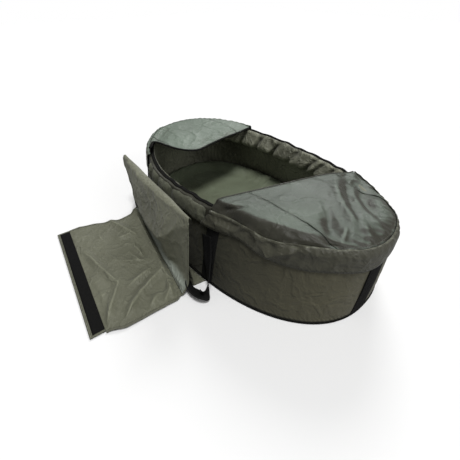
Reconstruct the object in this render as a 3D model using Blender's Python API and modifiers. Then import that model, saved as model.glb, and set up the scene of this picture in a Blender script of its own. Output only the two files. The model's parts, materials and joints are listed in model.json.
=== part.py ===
"""Carp cradle: a soft, bath-shaped tub that holds a carp on the bank.

Foam walls and a padded floor stand inside a nylon tub. A fitted cap closes each end, a wide flap
closes the middle, and a webbing handle hangs on each long side. The cradle is modelled as it lies
open: both caps on, the flap folded out over the left wall and lying on the ground, the handles down.

Frame: metres, +Z up, the origin on the ground below the middle of the tub, the long axis along X.
The near end is at +X and the flap and the left handle are on the -Y side.
"""

from math import acos, asin, atan, ceil, copysign, cos, floor, pi, radians, sin

import bmesh
import bpy
from mathutils import Vector

# Tub
BASE_LENGTH = 1.09
BASE_WIDTH = 0.66
RIM_LENGTH = 1.12
RIM_WIDTH = 0.56
WALL_HEIGHT = 0.268
NEAR_ROUNDNESS = 2.3  # exponent of the plan outline at each end: 2 is an ellipse, more is squarer
FAR_ROUNDNESS = 2.5
SKEW = 0.09  # how far the soft tub stands askew: the left side forward, the right side back
RING_STEPS = 64
GAP = 0.0004

# Cloth, foam and trim
FABRIC = 0.0016
BASE_SHEET = 0.003
PIPING_RADIUS = 0.0033
FOAM_THICKNESS = 0.026
FOAM_EDGE = 0.005
BASE_FOAM = 0.022
LINING = 0.0014
GATHER = 0.0045
LINING_EASE = 0.0012
MAT_THICKNESS = 0.010
MAT_CROWN = 0.007
MAT_EDGE = 0.060
BINDING_WIDTH = 0.018
BINDING_HEIGHT = 0.0032
SHOULDER = 0.013  # height over which the outer wall and the lining turn in over the foam

# Webbing and handles
WEBBING = 0.0022
WEBBING_WIDTH = 0.050
HANDLE_WEBBING = 0.0025
HANDLE_WIDTH = 0.045
HANDLE_HEIGHT = 0.170
HANDLE_NEAR_X = 0.130
HANDLE_FAR_X = -0.435
SEWN_NEAR_X = 0.150
SEWN_FAR_X = -0.435
SEWN_TOP = 0.205
NOSE_WEBBING_WIDTH = 0.055
NOSE_TOP = 0.200
NOSE_Y = -0.035
HANDLE_LIE = 0.004
HANDLE_EASE = 0.0012
HANDLE_TURN = 0.014
HANDLE_SAG = 0.006
BIGHT = 0.100  # how far the left handle's turn lies past the flap's near edge

# End caps
CAP_OUTSET = 0.0075  # from the wall to the skirt
CAP_DROP = 0.007  # from the crown's edge down to the skirt's seam
SKIRT_DEPTH = 0.062
SKIRT_RIPPLE = 0.004
SKIRT_TUCK = 0.0015  # how far the skirt's lower edge is drawn in by its hem
HEM_SIZE = 0.0036
GUSSET_Y = 0.16
NEAR_CAP_FRONT = (0.128, 0.268)  # X of the cap's front corners, left then right
FAR_CAP_FRONT = (-0.325, -0.313)
NEAR_CAP_BULGE = 0.0
FAR_CAP_BULGE = 0.055
NEAR_CROWN = 0.030
FAR_CROWN = 0.020
FRONT_SHARE = 0.45  # height of the crown at its front, as a share of its full height
CORNER_TRIM = 0.65  # share of a step of the outline left free at the crown's front corners
CROWN_ROWS = 7
FRONT_HEM = 0.0044

# Flap
FLAP_TURN = radians(7.5)
FLAP_SHIFT = -0.087
FLAP_LENGTH = 0.560
RIDGE_LENGTH = 0.528
FLAP_FOOT_GAP = 0.004
FLAP_THICKNESS = 0.0024
FOOT_PIVOT = 0.050  # where along the foot line the back panel turns
RIDGE_HEIGHT = 0.2735
RIDGE_LEAN = 0.012
FOLD_DEPTH = 0.030
FOLD_RISE = 0.004
APRON_DEPTH = 0.327
APRON_SHEAR = 0.035
APRON_FOLD = 0.005
WING_FOLD = 0.004
TIP_DEPTH = 0.046
EDGE_TAPE = 0.006
HOOK_WIDTH = 0.036
HOOK_THICKNESS = 0.0015
LOOP_LENGTH = 0.42
LOOP_WIDTH = 0.038
LOOP_THICKNESS = 0.0015
LOOP_BELOW_RIM = 0.018

MERGE = 0.00001
NOSE_HALVES = (-NOSE_WEBBING_WIDTH / 2, NOSE_WEBBING_WIDTH / 2)
LEAN = atan((BASE_WIDTH - RIM_WIDTH) / 2 / WALL_HEIGHT)
SLANT = 1 / cos(LEAN)
STEP_TURN = 2 * pi / RING_STEPS
FLOOR_LEVEL = BASE_SHEET + GAP + BASE_FOAM
INNER_FACE = (FABRIC + FOAM_THICKNESS) * SLANT + 2 * GAP
FLAP_ALONG = Vector((cos(FLAP_TURN), -sin(FLAP_TURN), 0))
FLAP_OUT = Vector((-sin(FLAP_TURN), -cos(FLAP_TURN), 0))
WING_LINE = FOLD_DEPTH - RIDGE_LEAN
FOOT_LEVEL = GAP + FABRIC + 2 * GAP
VALLEY_PIVOT = GAP + FLAP_THICKNESS / 2
WEBBING_FACE = GAP + WEBBING

OLIVE_WALL = ("olive_wall", (0.070, 0.070, 0.055), 0.80)
OLIVE_FLAP = ("olive_flap", (0.105, 0.108, 0.085), 0.75)
CAP_CLOTH = ("cap_cloth", (0.130, 0.150, 0.130), 0.55)
LINING_CLOTH = ("lining_cloth", (0.060, 0.065, 0.050), 0.70)
MAT_CLOTH = ("mat_cloth", (0.150, 0.170, 0.135), 0.60)
BLACK_TRIM = ("black_trim", (0.012, 0.012, 0.012), 0.85)
FOAM = ("foam", (0.30, 0.30, 0.28), 0.95)


def mix(start, end, share):
    """The value or point at this share of the way from start to end."""
    return start + (end - start) * share


def wall_point(turn, height, outset):
    """A point on the smooth outline of the tub's outer face, moved outward by outset."""
    share = height / WALL_HEIGHT
    half_x = mix(BASE_LENGTH, RIM_LENGTH, share) / 2
    half_y = mix(BASE_WIDTH, RIM_WIDTH, share) / 2
    power = NEAR_ROUNDNESS if cos(turn) > 0 else FAR_ROUNDNESS
    x_share = copysign(abs(cos(turn)) ** (2 / power), cos(turn))
    y_share = copysign(abs(sin(turn)) ** (2 / power), sin(turn))
    slope_x = copysign(abs(x_share) ** (power - 1) / half_x, x_share)
    slope_y = copysign(abs(y_share) ** (power - 1) / half_y, y_share)
    normal = Vector((slope_x, slope_y + SKEW * slope_x, 0)).normalized()
    y = half_y * y_share
    return Vector((half_x * x_share - SKEW * y, y, height)) + outset * normal


def ring_point(turn, height, outset=0.0):
    """The same point on the faceted outline that every ring of the tub shares."""
    step = floor(turn / STEP_TURN + MERGE)
    here = wall_point(step * STEP_TURN, height, outset)
    ahead = wall_point((step + 1) * STEP_TURN, height, outset)
    return here.lerp(ahead, min(max(turn / STEP_TURN - step, 0.0), 1.0))


def turn_where(passed, low, high):
    """The turn between low and high at which passed(point of the rim) becomes true."""
    for _step in range(40):
        middle = (low + high) / 2
        if passed(wall_point(middle, WALL_HEIGHT, 0.0)):
            high = middle
        else:
            low = middle
    return middle


def side_turn(x, side):
    """The turn at which the rim passes x on the side whose Y has the sign of side."""
    return turn_where(lambda point: point.x < x, 0.0, side * pi)


def turn_at_width(y, near):
    """The turn at which the rim passes y, on the near end or on the far end."""
    if near:
        return turn_where(lambda point: point.y > y, -pi / 2, pi / 2)
    return turn_where(lambda point: point.y < y, pi / 2, 3 * pi / 2)


def turns_between(start, end, parts=1):
    """start, each vertex of the ring between the two, in parts, and end."""
    step = STEP_TURN / parts
    first, last = floor(start / step + 1.01), ceil(end / step - 1.01)
    return [start] + [index * step for index in range(first, last + 1)] + [end]


def full_turn(parts=1):
    """Every vertex of the ring once round, in parts."""
    return [index * STEP_TURN / parts for index in range(RING_STEPS * parts)]


def material_of(look):
    """The material of this name, colour and roughness, made when it is first asked for."""
    name, colour, roughness = look
    material = bpy.data.materials.get(name)
    if material is None:
        material = bpy.data.materials.new(name)
        material.use_nodes = True
        shader = material.node_tree.nodes["Principled BSDF"]
        shader.inputs["Base Color"].default_value = (*colour, 1)
        shader.inputs["Roughness"].default_value = roughness
        shader.inputs["Metallic"].default_value = 0.0
        material.diffuse_color = (*colour, 1)
    return material


def add_object(name, mesh_data, look, parent=None):
    """Turn a bmesh into a named object in the cradle's collection."""
    mesh = bpy.data.meshes.new(name)
    mesh_data.to_mesh(mesh)
    mesh_data.free()
    mesh.materials.append(material_of(look))
    mesh.shade_smooth()
    mesh.set_sharp_from_angle(angle=radians(40))
    thing = bpy.data.objects.new(name, mesh)
    bpy.data.collections["carp_cradle"].objects.link(thing)
    if parent is not None:
        thing.parent = parent
        thing.matrix_parent_inverse = parent.matrix_world.inverted()
    return thing


def loft(name, sections, look, closed=False, parent=None):
    """A solid through sections of equally many points, closed into a ring or capped at both ends.

    Each quad is split along its shorter diagonal, so nested layers of the wall stay parallel.
    """
    mesh_data = bmesh.new()
    rows = [[mesh_data.verts.new(point) for point in section] for section in sections]
    pairs = list(zip(rows, rows[1:])) + ([(rows[-1], rows[0])] if closed else [])
    count = len(rows[0])
    for here, ahead in pairs:
        for index in range(count):
            after = (index + 1) % count
            mesh_data.faces.new((here[index], here[after], ahead[after], ahead[index]))
    bmesh.ops.triangulate(mesh_data, faces=mesh_data.faces, quad_method="SHORT_EDGE")
    if not closed:
        mesh_data.faces.new(rows[0])
        mesh_data.faces.new(rows[-1])
    bmesh.ops.recalc_face_normals(mesh_data, faces=mesh_data.faces)
    return add_object(name, mesh_data, look, parent)


def band(name, profile, turns, look, closed=False, parent=None):
    """A loft whose section follows the wall: profile gives (outset, height) pairs, one list for each turn."""
    sections = [[ring_point(turn, height, outset) for outset, height in profile(turn)] for turn in turns]
    return loft(name, sections, look, closed, parent)


def slab(name, layers, look):
    """A flat oval piece: layers are (outset, height) pairs from the bottom up."""
    sections = [[ring_point(turn, height, outset) for turn in full_turn()] for outset, height in layers]
    return loft(name, sections, look)


def sheet(name, columns, rows, place, thickness, look, parent=None):
    """A piece of cloth: a grid of columns by rows faces, laid out by place(column, row), then thickened."""
    mesh_data = bmesh.new()
    bmesh.ops.create_grid(mesh_data, x_segments=columns, y_segments=rows, size=0.5)
    for vert in mesh_data.verts:
        vert.co = place(round((vert.co.x + 0.5) * columns), round((vert.co.y + 0.5) * rows))
    bmesh.ops.recalc_face_normals(mesh_data, faces=mesh_data.faces)
    thing = add_object(name, mesh_data, look, parent)
    solidify = thing.modifiers.new("thickness", "SOLIDIFY")
    solidify.thickness = thickness
    solidify.offset = 0
    solidify.use_even_offset = True
    return thing


def ribbon(name, centres, faces, width, thickness, look, parent=None):
    """Webbing along centres: faces holds the direction that its flat side faces at each point."""
    sections = []
    for index, centre in enumerate(centres):
        along = centres[min(index + 1, len(centres) - 1)] - centres[max(index - 1, 0)]
        side = faces[index].cross(along).normalized() * (width / 2)
        flat = along.cross(side).normalized() * (thickness / 2)
        sections.append([centre + a * side + b * flat for a, b in ((1, 1), (1, -1), (-1, -1), (-1, 1))])
    return loft(name, sections, look, False, parent)


def empty_at(name, position):
    """A helper on a joint's axis, which the moving pieces are parented to."""
    helper = bpy.data.objects.new(name, None)
    helper.location = position
    helper.empty_display_size = 0.03
    bpy.data.collections["carp_cradle"].objects.link(helper)
    bpy.context.view_layer.update()
    return helper


def smooth_path(points, parts):
    """Points along a smooth curve through the given ones, with parts steps between two of them."""
    ends = [points[0] * 2 - points[1]] + points + [points[-1] * 2 - points[-2]]
    path = []
    for index in range(1, len(ends) - 2):
        before, here, after, later = ends[index - 1 : index + 3]
        for part in range(parts):
            t = part / parts
            curve = here * 2 + (after - before) * t
            curve += (before * 2 - here * 5 + after * 4 - later) * t**2
            curve += (here * 3 - before - after * 3 + later) * t**3
            path.append(curve / 2)
    return path + [points[-1]]


def build_base():
    """The bottom sheet, the piping round its edge, the floor's foam and the padded mat on it."""
    sheet_edge = -PIPING_RADIUS - GAP
    slab("base_sheet", [(sheet_edge, 0.0), (sheet_edge, BASE_SHEET)], BLACK_TRIM)

    def piping(_turn):
        centre = PIPING_RADIUS + GAP / 2
        angles = [index * pi / 4 + pi / 8 for index in range(8)]
        return [(PIPING_RADIUS * cos(angle), centre + PIPING_RADIUS * sin(angle)) for angle in angles]

    band("base_piping", piping, full_turn(), BLACK_TRIM, closed=True)
    foam_bottom = BASE_SHEET + GAP
    slab("base_foam", [(-INNER_FACE, foam_bottom), (-INNER_FACE, FLOOR_LEVEL)], FOAM)
    edge = -INNER_FACE - LINING_EASE - LINING - GAP - GATHER / 3
    bottom = FLOOR_LEVEL + GAP
    layers = [
        (edge - MAT_THICKNESS / 4, bottom),
        (edge, bottom + MAT_THICKNESS / 3),
        (edge - MAT_THICKNESS / 4, bottom + MAT_THICKNESS * 0.8),
        (edge - MAT_THICKNESS, bottom + MAT_THICKNESS),
        (edge - MAT_EDGE, bottom + MAT_THICKNESS + MAT_CROWN * 0.8),
        (edge - MAT_EDGE * 2, bottom + MAT_THICKNESS + MAT_CROWN),
    ]
    slab("floor_mat", layers, MAT_CLOTH)


def build_walls():
    """The outer wall, the four foam boards inside it, the gathered lining and the rim's binding."""
    bottom = 2 * PIPING_RADIUS + 2 * GAP
    seam_top = WALL_HEIGHT - BINDING_HEIGHT - GAP
    wall_middle = -INNER_FACE / 2
    seam_half = BINDING_WIDTH / 2 - FABRIC

    def outer(_turn):
        turned_in = wall_middle + seam_half
        face = [(0, bottom), (0, WALL_HEIGHT / 2), (0, seam_top - SHOULDER)]
        turn_out, turn_height = turned_in * 0.35, seam_top - SHOULDER * 0.3
        over = [(turn_out, turn_height), (turned_in, seam_top)]
        back = [(turned_in, seam_top - FABRIC), (turn_out - FABRIC, turn_height - FABRIC)]
        inside = [(-FABRIC, seam_top - SHOULDER - FABRIC), (-FABRIC, WALL_HEIGHT / 2), (-FABRIC, bottom)]
        return face + over + back + inside

    band("outer_wall", outer, full_turn(), OLIVE_WALL, closed=True)

    foam_out = -FABRIC * SLANT - GAP
    foam_in = foam_out - FOAM_THICKNESS * SLANT
    foam_top = seam_top - FABRIC - GAP

    def board(_turn):
        return [
            (foam_out, bottom),
            (foam_out, WALL_HEIGHT / 2),
            (foam_out, foam_top - SHOULDER),
            (foam_out - FOAM_EDGE * 1.5, foam_top - FOAM_EDGE / 2),
            (foam_in + FOAM_EDGE * 1.5, foam_top - FOAM_EDGE / 2),
            (foam_in, foam_top - SHOULDER),
            (foam_in, WALL_HEIGHT / 2),
            (foam_in, bottom),
        ]

    quarter = RING_STEPS // 8
    starts = {"near": -quarter, "right": quarter, "far": 3 * quarter, "left": 5 * quarter}
    end_gap = 6 * GAP / RIM_LENGTH
    for place, start in starts.items():
        turns = turns_between(start * STEP_TURN + end_gap, (start + 2 * quarter) * STEP_TURN - end_gap)
        band(f"{place}_foam", board, turns, FOAM)

    def lining(turn):
        pleat = GATHER if round(turn / STEP_TURN * 2) % 2 else 0.0
        face = -INNER_FACE - LINING_EASE
        turned = wall_middle - seam_half
        near_top, low = seam_top - SHOULDER * 0.3, FLOOR_LEVEL + 2 * GAP
        back = [(face, low), (face, WALL_HEIGHT / 2), (face, seam_top - SHOULDER)]
        back.append((mix(face, turned, 0.35), near_top))
        over = [(turned, seam_top), (turned, seam_top + GAP / 2)]
        front = [
            (mix(face, turned, 0.3) - LINING - pleat * 0.7, near_top + LINING),
            (face - LINING - pleat, seam_top - SHOULDER * 1.5),
            (face - LINING - pleat / 2, WALL_HEIGHT / 2),
            (face - LINING - pleat / 3, low),
        ]
        return back + over + front

    band("lining", lining, full_turn(2), LINING_CLOTH, closed=True)

    def binding(_turn):
        half, bevel = BINDING_WIDTH / 2, BINDING_HEIGHT / 2
        low = WALL_HEIGHT - BINDING_HEIGHT + GAP
        return [
            (wall_middle + half, low),
            (wall_middle + half, low + bevel),
            (wall_middle + half - bevel, WALL_HEIGHT),
            (wall_middle - half + bevel, WALL_HEIGHT),
            (wall_middle - half, low + bevel),
            (wall_middle - half, low),
        ]

    band("rim_binding", binding, full_turn(), BLACK_TRIM, closed=True)


def build_sewn_webbing():
    """The webbing sewn up the walls: two drops under each handle and one up each nose."""
    bottom = 2 * PIPING_RADIUS + 2 * GAP

    def strip(name, start, end, top):
        def profile(_turn):
            face = [(WEBBING_FACE, bottom), (WEBBING_FACE, top / 2), (WEBBING_FACE, top)]
            return face + [(GAP, top), (GAP, top / 2), (GAP, bottom)]

        band(name, profile, turns_between(start, end), BLACK_TRIM)

    for side_name, side in (("left", -1), ("right", 1)):
        for place, x in (("near", SEWN_NEAR_X), ("far", SEWN_FAR_X)):
            edges = [side_turn(x + half, side) for half in (-WEBBING_WIDTH / 2, WEBBING_WIDTH / 2)]
            strip(f"{side_name}_{place}_webbing", min(edges), max(edges), SEWN_TOP)
    for place in ("near", "far"):
        edges = sorted(turn_at_width(NOSE_Y + half, place == "near") for half in NOSE_HALVES)
        strip(f"{place}_nose_webbing", *edges, NOSE_TOP)


def build_cap(place, front, bulge, crown):
    """One fitted end cap: three crown panels, a skirt over the wall, its elastic hem and the front hem."""
    near = place == "near"
    left, right = (side_turn(x, side) for x, side in zip(front, (-1, 1)))
    start, end = (left, right) if near else (right, left + 2 * pi)
    corners = [ring_point(turn, WALL_HEIGHT) for turn in (start, end)]
    level = WALL_HEIGHT + GAP + FABRIC / 2
    lift = empty_at(f"{place}_cap_lift", Vector(((corners[0].x + corners[1].x) / 2, 0, level)))
    middle_y, half_width = (corners[0].y + corners[1].y) / 2, abs(corners[1].y - corners[0].y) / 2

    def front_x(y):
        across = (y - corners[0].y) / (corners[1].y - corners[0].y)
        return mix(corners[0].x, corners[1].x, across) + bulge * (1 - ((y - middle_y) / half_width) ** 2)

    def height_at(y, share):
        across = 1 - min(abs(y - middle_y) / half_width, 1.0) ** 2.2
        swell = FRONT_SHARE + (1 - FRONT_SHARE) * sin(pi * share**0.8)
        return level + crown * across * swell * (1 - share**6)

    def crown_point(turn, row):
        rim = ring_point(turn, WALL_HEIGHT)
        if row > CROWN_ROWS:
            part = row - CROWN_ROWS
            edge = ring_point(turn, WALL_HEIGHT, CAP_OUTSET * (0.6, 1.0)[part - 1])
            return Vector((edge.x, edge.y, level - CAP_DROP * (0.2, 1.0)[part - 1]))
        share = 1 - (1 - row / CROWN_ROWS) ** 1.5
        return Vector((mix(front_x(rim.y), rim.x, share), rim.y, height_at(rim.y, share)))

    def panel(name, first, last):
        turns = turns_between(first, last)
        columns, rows = len(turns) - 1, CROWN_ROWS + 2
        sheet(name, columns, rows, lambda i, j: crown_point(turns[i], j), FABRIC, CAP_CLOTH, lift)

    seam = GAP / half_width
    seams = sorted(turn_at_width(y, near) for y in (-GUSSET_Y, GUSSET_Y))
    sides = ("left", "right") if near else ("right", "left")
    trim = CORNER_TRIM * STEP_TURN
    panel(f"{place}_cap_{sides[0]}_gusset", start + trim, seams[0] - seam)
    panel(f"{place}_cap_crown", seams[0] + seam, seams[1] - seam)
    panel(f"{place}_cap_{sides[1]}_gusset", seams[1] + seam, end - trim)

    skirt_top = level - CAP_DROP - 2 * GAP
    hem_level = skirt_top - SKIRT_DEPTH
    turns = turns_between(start, end, 2)

    def skirt(turn):
        ripple = SKIRT_RIPPLE if round(turn / STEP_TURN * 2) % 2 else 0.0
        inner, outer = CAP_OUTSET - FABRIC / 2, CAP_OUTSET + FABRIC / 2
        middle = mix(skirt_top, hem_level, 0.55)
        low = ripple / 2 - SKIRT_TUCK
        outside = [(outer, skirt_top), (outer + ripple, middle), (outer + low, hem_level)]
        inside = [(inner + low, hem_level), (inner + ripple, middle), (inner, skirt_top)]
        return outside + inside

    band(f"{place}_cap_skirt", skirt, turns, CAP_CLOTH, parent=lift)

    def hem(_turn):
        low, high = hem_level - GAP - HEM_SIZE, hem_level - GAP
        inner, outer = WEBBING_FACE + GAP, WEBBING_FACE + GAP + HEM_SIZE
        return [(inner, low), (outer, low), (outer, high), (inner, high)]

    band(f"{place}_cap_hem", hem, turns_between(start, end), BLACK_TRIM, parent=lift)

    edge_turns = turns_between(start + trim, end - trim)
    out = -1 if near else 1
    sections = []
    for turn in edge_turns:
        y = ring_point(turn, WALL_HEIGHT).y
        x = front_x(y) + out * (GAP + FRONT_HEM / 2)
        half, high = FRONT_HEM / 2, FRONT_HEM * 0.4
        z = height_at(y, 0.0) + high - FABRIC / 2
        corners_here = ((-half, -high), (half, -high), (half, high), (-half, high))
        sections.append([Vector((x + dx, y, z + dz)) for dx, dz in corners_here])
    loft(f"{place}_cap_front_hem", sections, CAP_CLOTH if near else BLACK_TRIM, False, lift)


def flap_foot():
    """How far the flap's foot line lies from the tub's middle: just past the base's widest point that way."""
    power = FAR_ROUNDNESS / (FAR_ROUNDNESS - 1)
    reach_x, reach_y = BASE_LENGTH / 2 * abs(FLAP_OUT.x), BASE_WIDTH / 2 * abs(FLAP_OUT.y)
    return (reach_x**power + reach_y**power) ** (1 / power) + PIPING_RADIUS + FLAP_FOOT_GAP


def flap_point(along, out, height):
    """A point by the flap: along its fold lines, outward from its foot line, and up."""
    return FLAP_ALONG * (FLAP_SHIFT + along) + FLAP_OUT * (flap_foot() + out) + Vector((0, 0, height))


def base_edge_point(along, height):
    """The point on the base's piping that faces the flap's foot line at this place along it."""
    foot = flap_point(along, 0, height)
    low, high = -pi + STEP_TURN, -STEP_TURN
    for _step in range(40):
        middle = (low + high) / 2
        point = ring_point(middle, 0.0, PIPING_RADIUS + GAP)
        if (point - foot).dot(FLAP_ALONG) < 0:
            low = middle
        else:
            high = middle
    return Vector((point.x, point.y, height))


def flap_panel(name, ends, line, columns, parent, fold=None):
    """A flap panel: line holds its (out, height) points, ends its half length at the first and at the last.

    fold(across, down) gives how far the cloth stands off that surface, across being 0 to 1 along the flap.
    """
    rows = len(line) - 1

    def place(i, j):
        across, down = i / columns, j / rows
        half = mix(*ends, down)
        out, height = line[j]
        off_out, off_height = fold(across, down) if fold else (0.0, 0.0)
        shear = APRON_SHEAR * max(0.0, out - WING_LINE) / APRON_DEPTH
        return flap_point(mix(-half, half, across) + shear, out + off_out, height + off_height)

    return sheet(name, columns, rows, place, FLAP_THICKNESS, OLIVE_FLAP, parent)


def flap_tape(name, route, parent):
    """Edge tape on a flap panel: route holds (along, out, height) points of the edge and its way outward."""
    sections = []
    for along, out, height, (side_along, side_out) in route:
        shear = APRON_SHEAR * max(0.0, out - WING_LINE) / APRON_DEPTH
        section = []
        for depth, lift in ((GAP, -1), (EDGE_TAPE, -1), (EDGE_TAPE, 1), (GAP, 1)):
            half = FLAP_THICKNESS / 2 * lift
            rise, step_out = (half, side_out * depth) if out > WING_LINE else (0.0, half)
            section.append(flap_point(along + shear + side_along * depth, out + step_out, height + rise))
        sections.append(section)
    loft(name, sections, OLIVE_FLAP, False, parent)


def build_flap_back():
    """The root of the flap on the ground, the back panel that stands by the wall and the fold at its top."""
    half = FLAP_LENGTH / 2
    columns = 14
    root_level = GAP + FABRIC / 2

    def root(i, j):
        along = mix(-half, half, i / columns)
        foot_line = flap_point(along, FLAP_THICKNESS / 2, root_level)
        return base_edge_point(along, root_level).lerp(foot_line, j / 2)

    sheet("flap_root", columns, 2, root, FABRIC, OLIVE_FLAP)

    foot = empty_at("flap_foot", flap_point(FOOT_PIVOT, 0, FOOT_LEVEL))
    top = RIDGE_HEIGHT - FLAP_THICKNESS / 2 - GAP
    line = [(-RIDGE_LEAN * row / 3, mix(FOOT_LEVEL, top, row / 3)) for row in range(4)]
    flap_panel("flap_back", (half, RIDGE_LENGTH / 2), line, 10, foot)

    ridge = empty_at("flap_ridge", flap_point(0, -RIDGE_LEAN, RIDGE_HEIGHT))
    last = WING_LINE - FLAP_THICKNESS / 2 - GAP
    rise = ((0.0, 0.0), (0.2, 0.7), (0.5, 1.0), (0.8, 0.7), (1.0, 0.0))
    arch = [(mix(-RIDGE_LEAN, last, share), RIDGE_HEIGHT + FOLD_RISE * high) for share, high in rise]
    flap_panel("flap_fold", (RIDGE_LENGTH / 2, RIDGE_LENGTH / 2), arch, 6, ridge)


def build_flap_wing():
    """The wing that hangs from the fold to the ground, with the tape on its two upright edges."""
    wing = empty_at("flap_wing_top", flap_point(0, WING_LINE, RIDGE_HEIGHT))
    bottom = VALLEY_PIVOT + FLAP_THICKNESS / 2 + GAP
    rows = 8
    line = [(WING_LINE, mix(RIDGE_HEIGHT, bottom, row / rows)) for row in range(rows + 1)]

    def crease(across, down):
        wave = sin(pi * across) * sin(pi * down) * sin(2 * pi * (across * 2.5 + down))
        return WING_FOLD * wave, 0.0

    ends = (RIDGE_LENGTH / 2, FLAP_LENGTH / 2)
    flap_panel("flap_wing", ends, line, 18, wing, crease)
    for name, side in (("far", -1), ("near", 1)):
        route = [
            (side * ends[0], WING_LINE, RIDGE_HEIGHT, (side, 0)),
            (side * ends[1], WING_LINE, bottom, (side, 0)),
        ]
        flap_tape(f"flap_wing_{name}_tape", route, wing)


def build_flap_apron():
    """The apron on the ground and the tip beyond it, their edge tape, and the hooks on the tip."""
    half = FLAP_LENGTH / 2
    valley = empty_at("flap_valley", flap_point(0, WING_LINE, VALLEY_PIVOT))
    level = VALLEY_PIVOT
    start = WING_LINE + GAP
    hinge_out = WING_LINE + APRON_DEPTH - TIP_DEPTH
    rows = 10
    line = [(mix(start, hinge_out - GAP, row / rows), level) for row in range(rows + 1)]

    def crease(across, down):
        wave = 0.5 + 0.5 * sin(2 * pi * (across * 3.0 - down * 1.5))
        return 0.0, APRON_FOLD * sin(pi * across) * sin(pi * down) * wave

    flap_panel("flap_apron", (half, half), line, 20, valley, crease)
    for name, side in (("far", -1), ("near", 1)):
        route = [(side * half, out, level, (side, 0)) for out in (start + GAP, hinge_out - GAP)]
        flap_tape(f"flap_apron_{name}_tape", route, valley)

    tip = empty_at("flap_tip_hinge", flap_point(0, hinge_out, level + FLAP_THICKNESS / 2))
    outer = WING_LINE + APRON_DEPTH - EDGE_TAPE
    flap_panel("flap_tip", (half, half), [(hinge_out + GAP, level), (outer, level)], 1, tip)
    route = [
        (-half, hinge_out + GAP, level, (-1, 0)),
        (-half, outer, level, (-1, 1)),
        (half, outer, level, (1, 1)),
        (half, hinge_out + GAP, level, (1, 0)),
    ]
    flap_tape("flap_tip_tape", route, tip)

    hooks = []
    top = level + FLAP_THICKNESS / 2 + GAP
    for side in (-1, 1):
        section = []
        for out, height in (
            (outer - HOOK_WIDTH, top),
            (outer, top),
            (outer, top + HOOK_THICKNESS),
            (outer - HOOK_WIDTH, top + HOOK_THICKNESS),
        ):
            shear = APRON_SHEAR * (out - WING_LINE) / APRON_DEPTH
            section.append(flap_point(side * half + shear, out, height))
        hooks.append(section)
    loft("hook_strip", hooks, BLACK_TRIM, False, tip)


def build_loop_strip():
    """The strip of loops on the outside of the right wall, which the flap's hooks close on."""
    top = WALL_HEIGHT - LOOP_BELOW_RIM
    middle_x = FLAP_SHIFT
    turns = turns_between(side_turn(middle_x + LOOP_LENGTH / 2, 1), side_turn(middle_x - LOOP_LENGTH / 2, 1))

    def profile(_turn):
        outer = GAP + LOOP_THICKNESS
        return [(GAP, top - LOOP_WIDTH), (outer, top - LOOP_WIDTH), (outer, top), (GAP, top)]

    band("loop_strip", profile, turns, BLACK_TRIM)


def wall_spot(turn, height, outset):
    """A point off the wall, with the way that the wall faces there."""
    face = wall_point(turn, height, 1.0) - wall_point(turn, height, 0.0)
    return ring_point(turn, height, outset), face


def handle(name, spots, pivots):
    """Webbing through spots, (point, way it faces) pairs, hung on the line between the two pivots."""
    swing = empty_at(f"{name}_swing", (pivots[0] + pivots[1]) / 2)
    centres = smooth_path([point for point, _face in spots], 4)
    faces = smooth_path([face for _point, face in spots], 4)
    ribbon(name, centres, faces, HANDLE_WIDTH, HANDLE_WEBBING, BLACK_TRIM, swing)


def build_right_handle():
    """The right handle: it hangs down the wall and lies along its foot."""
    low = HANDLE_WIDTH / 2 + 1.5 * HANDLE_LIE
    out = WEBBING_FACE + HANDLE_EASE + HANDLE_WEBBING / 2
    first, last = side_turn(HANDLE_NEAR_X, 1), side_turn(HANDLE_FAR_X, 1)
    corner = HANDLE_WIDTH * 0.9 / RIM_LENGTH * pi
    middle = mix(low, HANDLE_HEIGHT, 0.45)
    spots = [wall_spot(first, HANDLE_HEIGHT, out), wall_spot(first, middle, out + HANDLE_LIE)]
    for index in range(9):
        turn = mix(first + corner, last - corner, index / 8)
        spots.append(wall_spot(turn, low, out + 2 * HANDLE_LIE))
    spots.append(wall_spot(last, middle, out + HANDLE_LIE))
    spots.append(wall_spot(last, HANDLE_HEIGHT, out))
    handle("right_handle", spots, (spots[0][0], spots[-1][0]))


def build_left_handle():
    """The left handle: it hangs by the flap's near edge, turns back and runs on inside the folded flap."""
    low = HANDLE_WIDTH / 2 + HANDLE_LIE
    out = WEBBING_FACE + HANDLE_EASE + HANDLE_WEBBING / 2
    half = FLAP_LENGTH / 2
    slot = WING_LINE / 2
    first, last = side_turn(HANDLE_NEAR_X, -1), side_turn(HANDLE_FAR_X, -1)
    start, face = wall_spot(first, HANDLE_HEIGHT, out)
    bight = flap_point(half + BIGHT, 0.002, low + HANDLE_LIE)
    spots = [(start, face)]
    for share in (0.3, 0.58, 0.84):
        spots.append((start.lerp(bight, share) + Vector((0, 0, -HANDLE_SAG * sin(pi * share))), face))
    spots += [
        (bight + FLAP_OUT * HANDLE_TURN, -FLAP_ALONG),
        (flap_point(half + BIGHT * 0.75, 0.002 + 2 * HANDLE_TURN, low), -FLAP_OUT),
        (flap_point(half + BIGHT * 0.45, 0.002 + 1.6 * HANDLE_TURN, low), -FLAP_OUT),
        (flap_point(half + BIGHT * 0.15, slot + HANDLE_LIE, low), -FLAP_OUT),
    ]
    spots += [(flap_point(mix(half, -half, index / 6), slot, low), -FLAP_OUT) for index in range(7)]
    point, face = wall_spot(last, HANDLE_HEIGHT, out)
    corner = flap_point(-half - 0.030, slot - 0.012, low + 0.012)
    spots += [(corner, -FLAP_OUT), (corner.lerp(point, 0.4) + Vector((-0.012, 0, 0)), -face), (point, -face)]
    handle("left_handle", spots, (spots[0][0], point))


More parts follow.
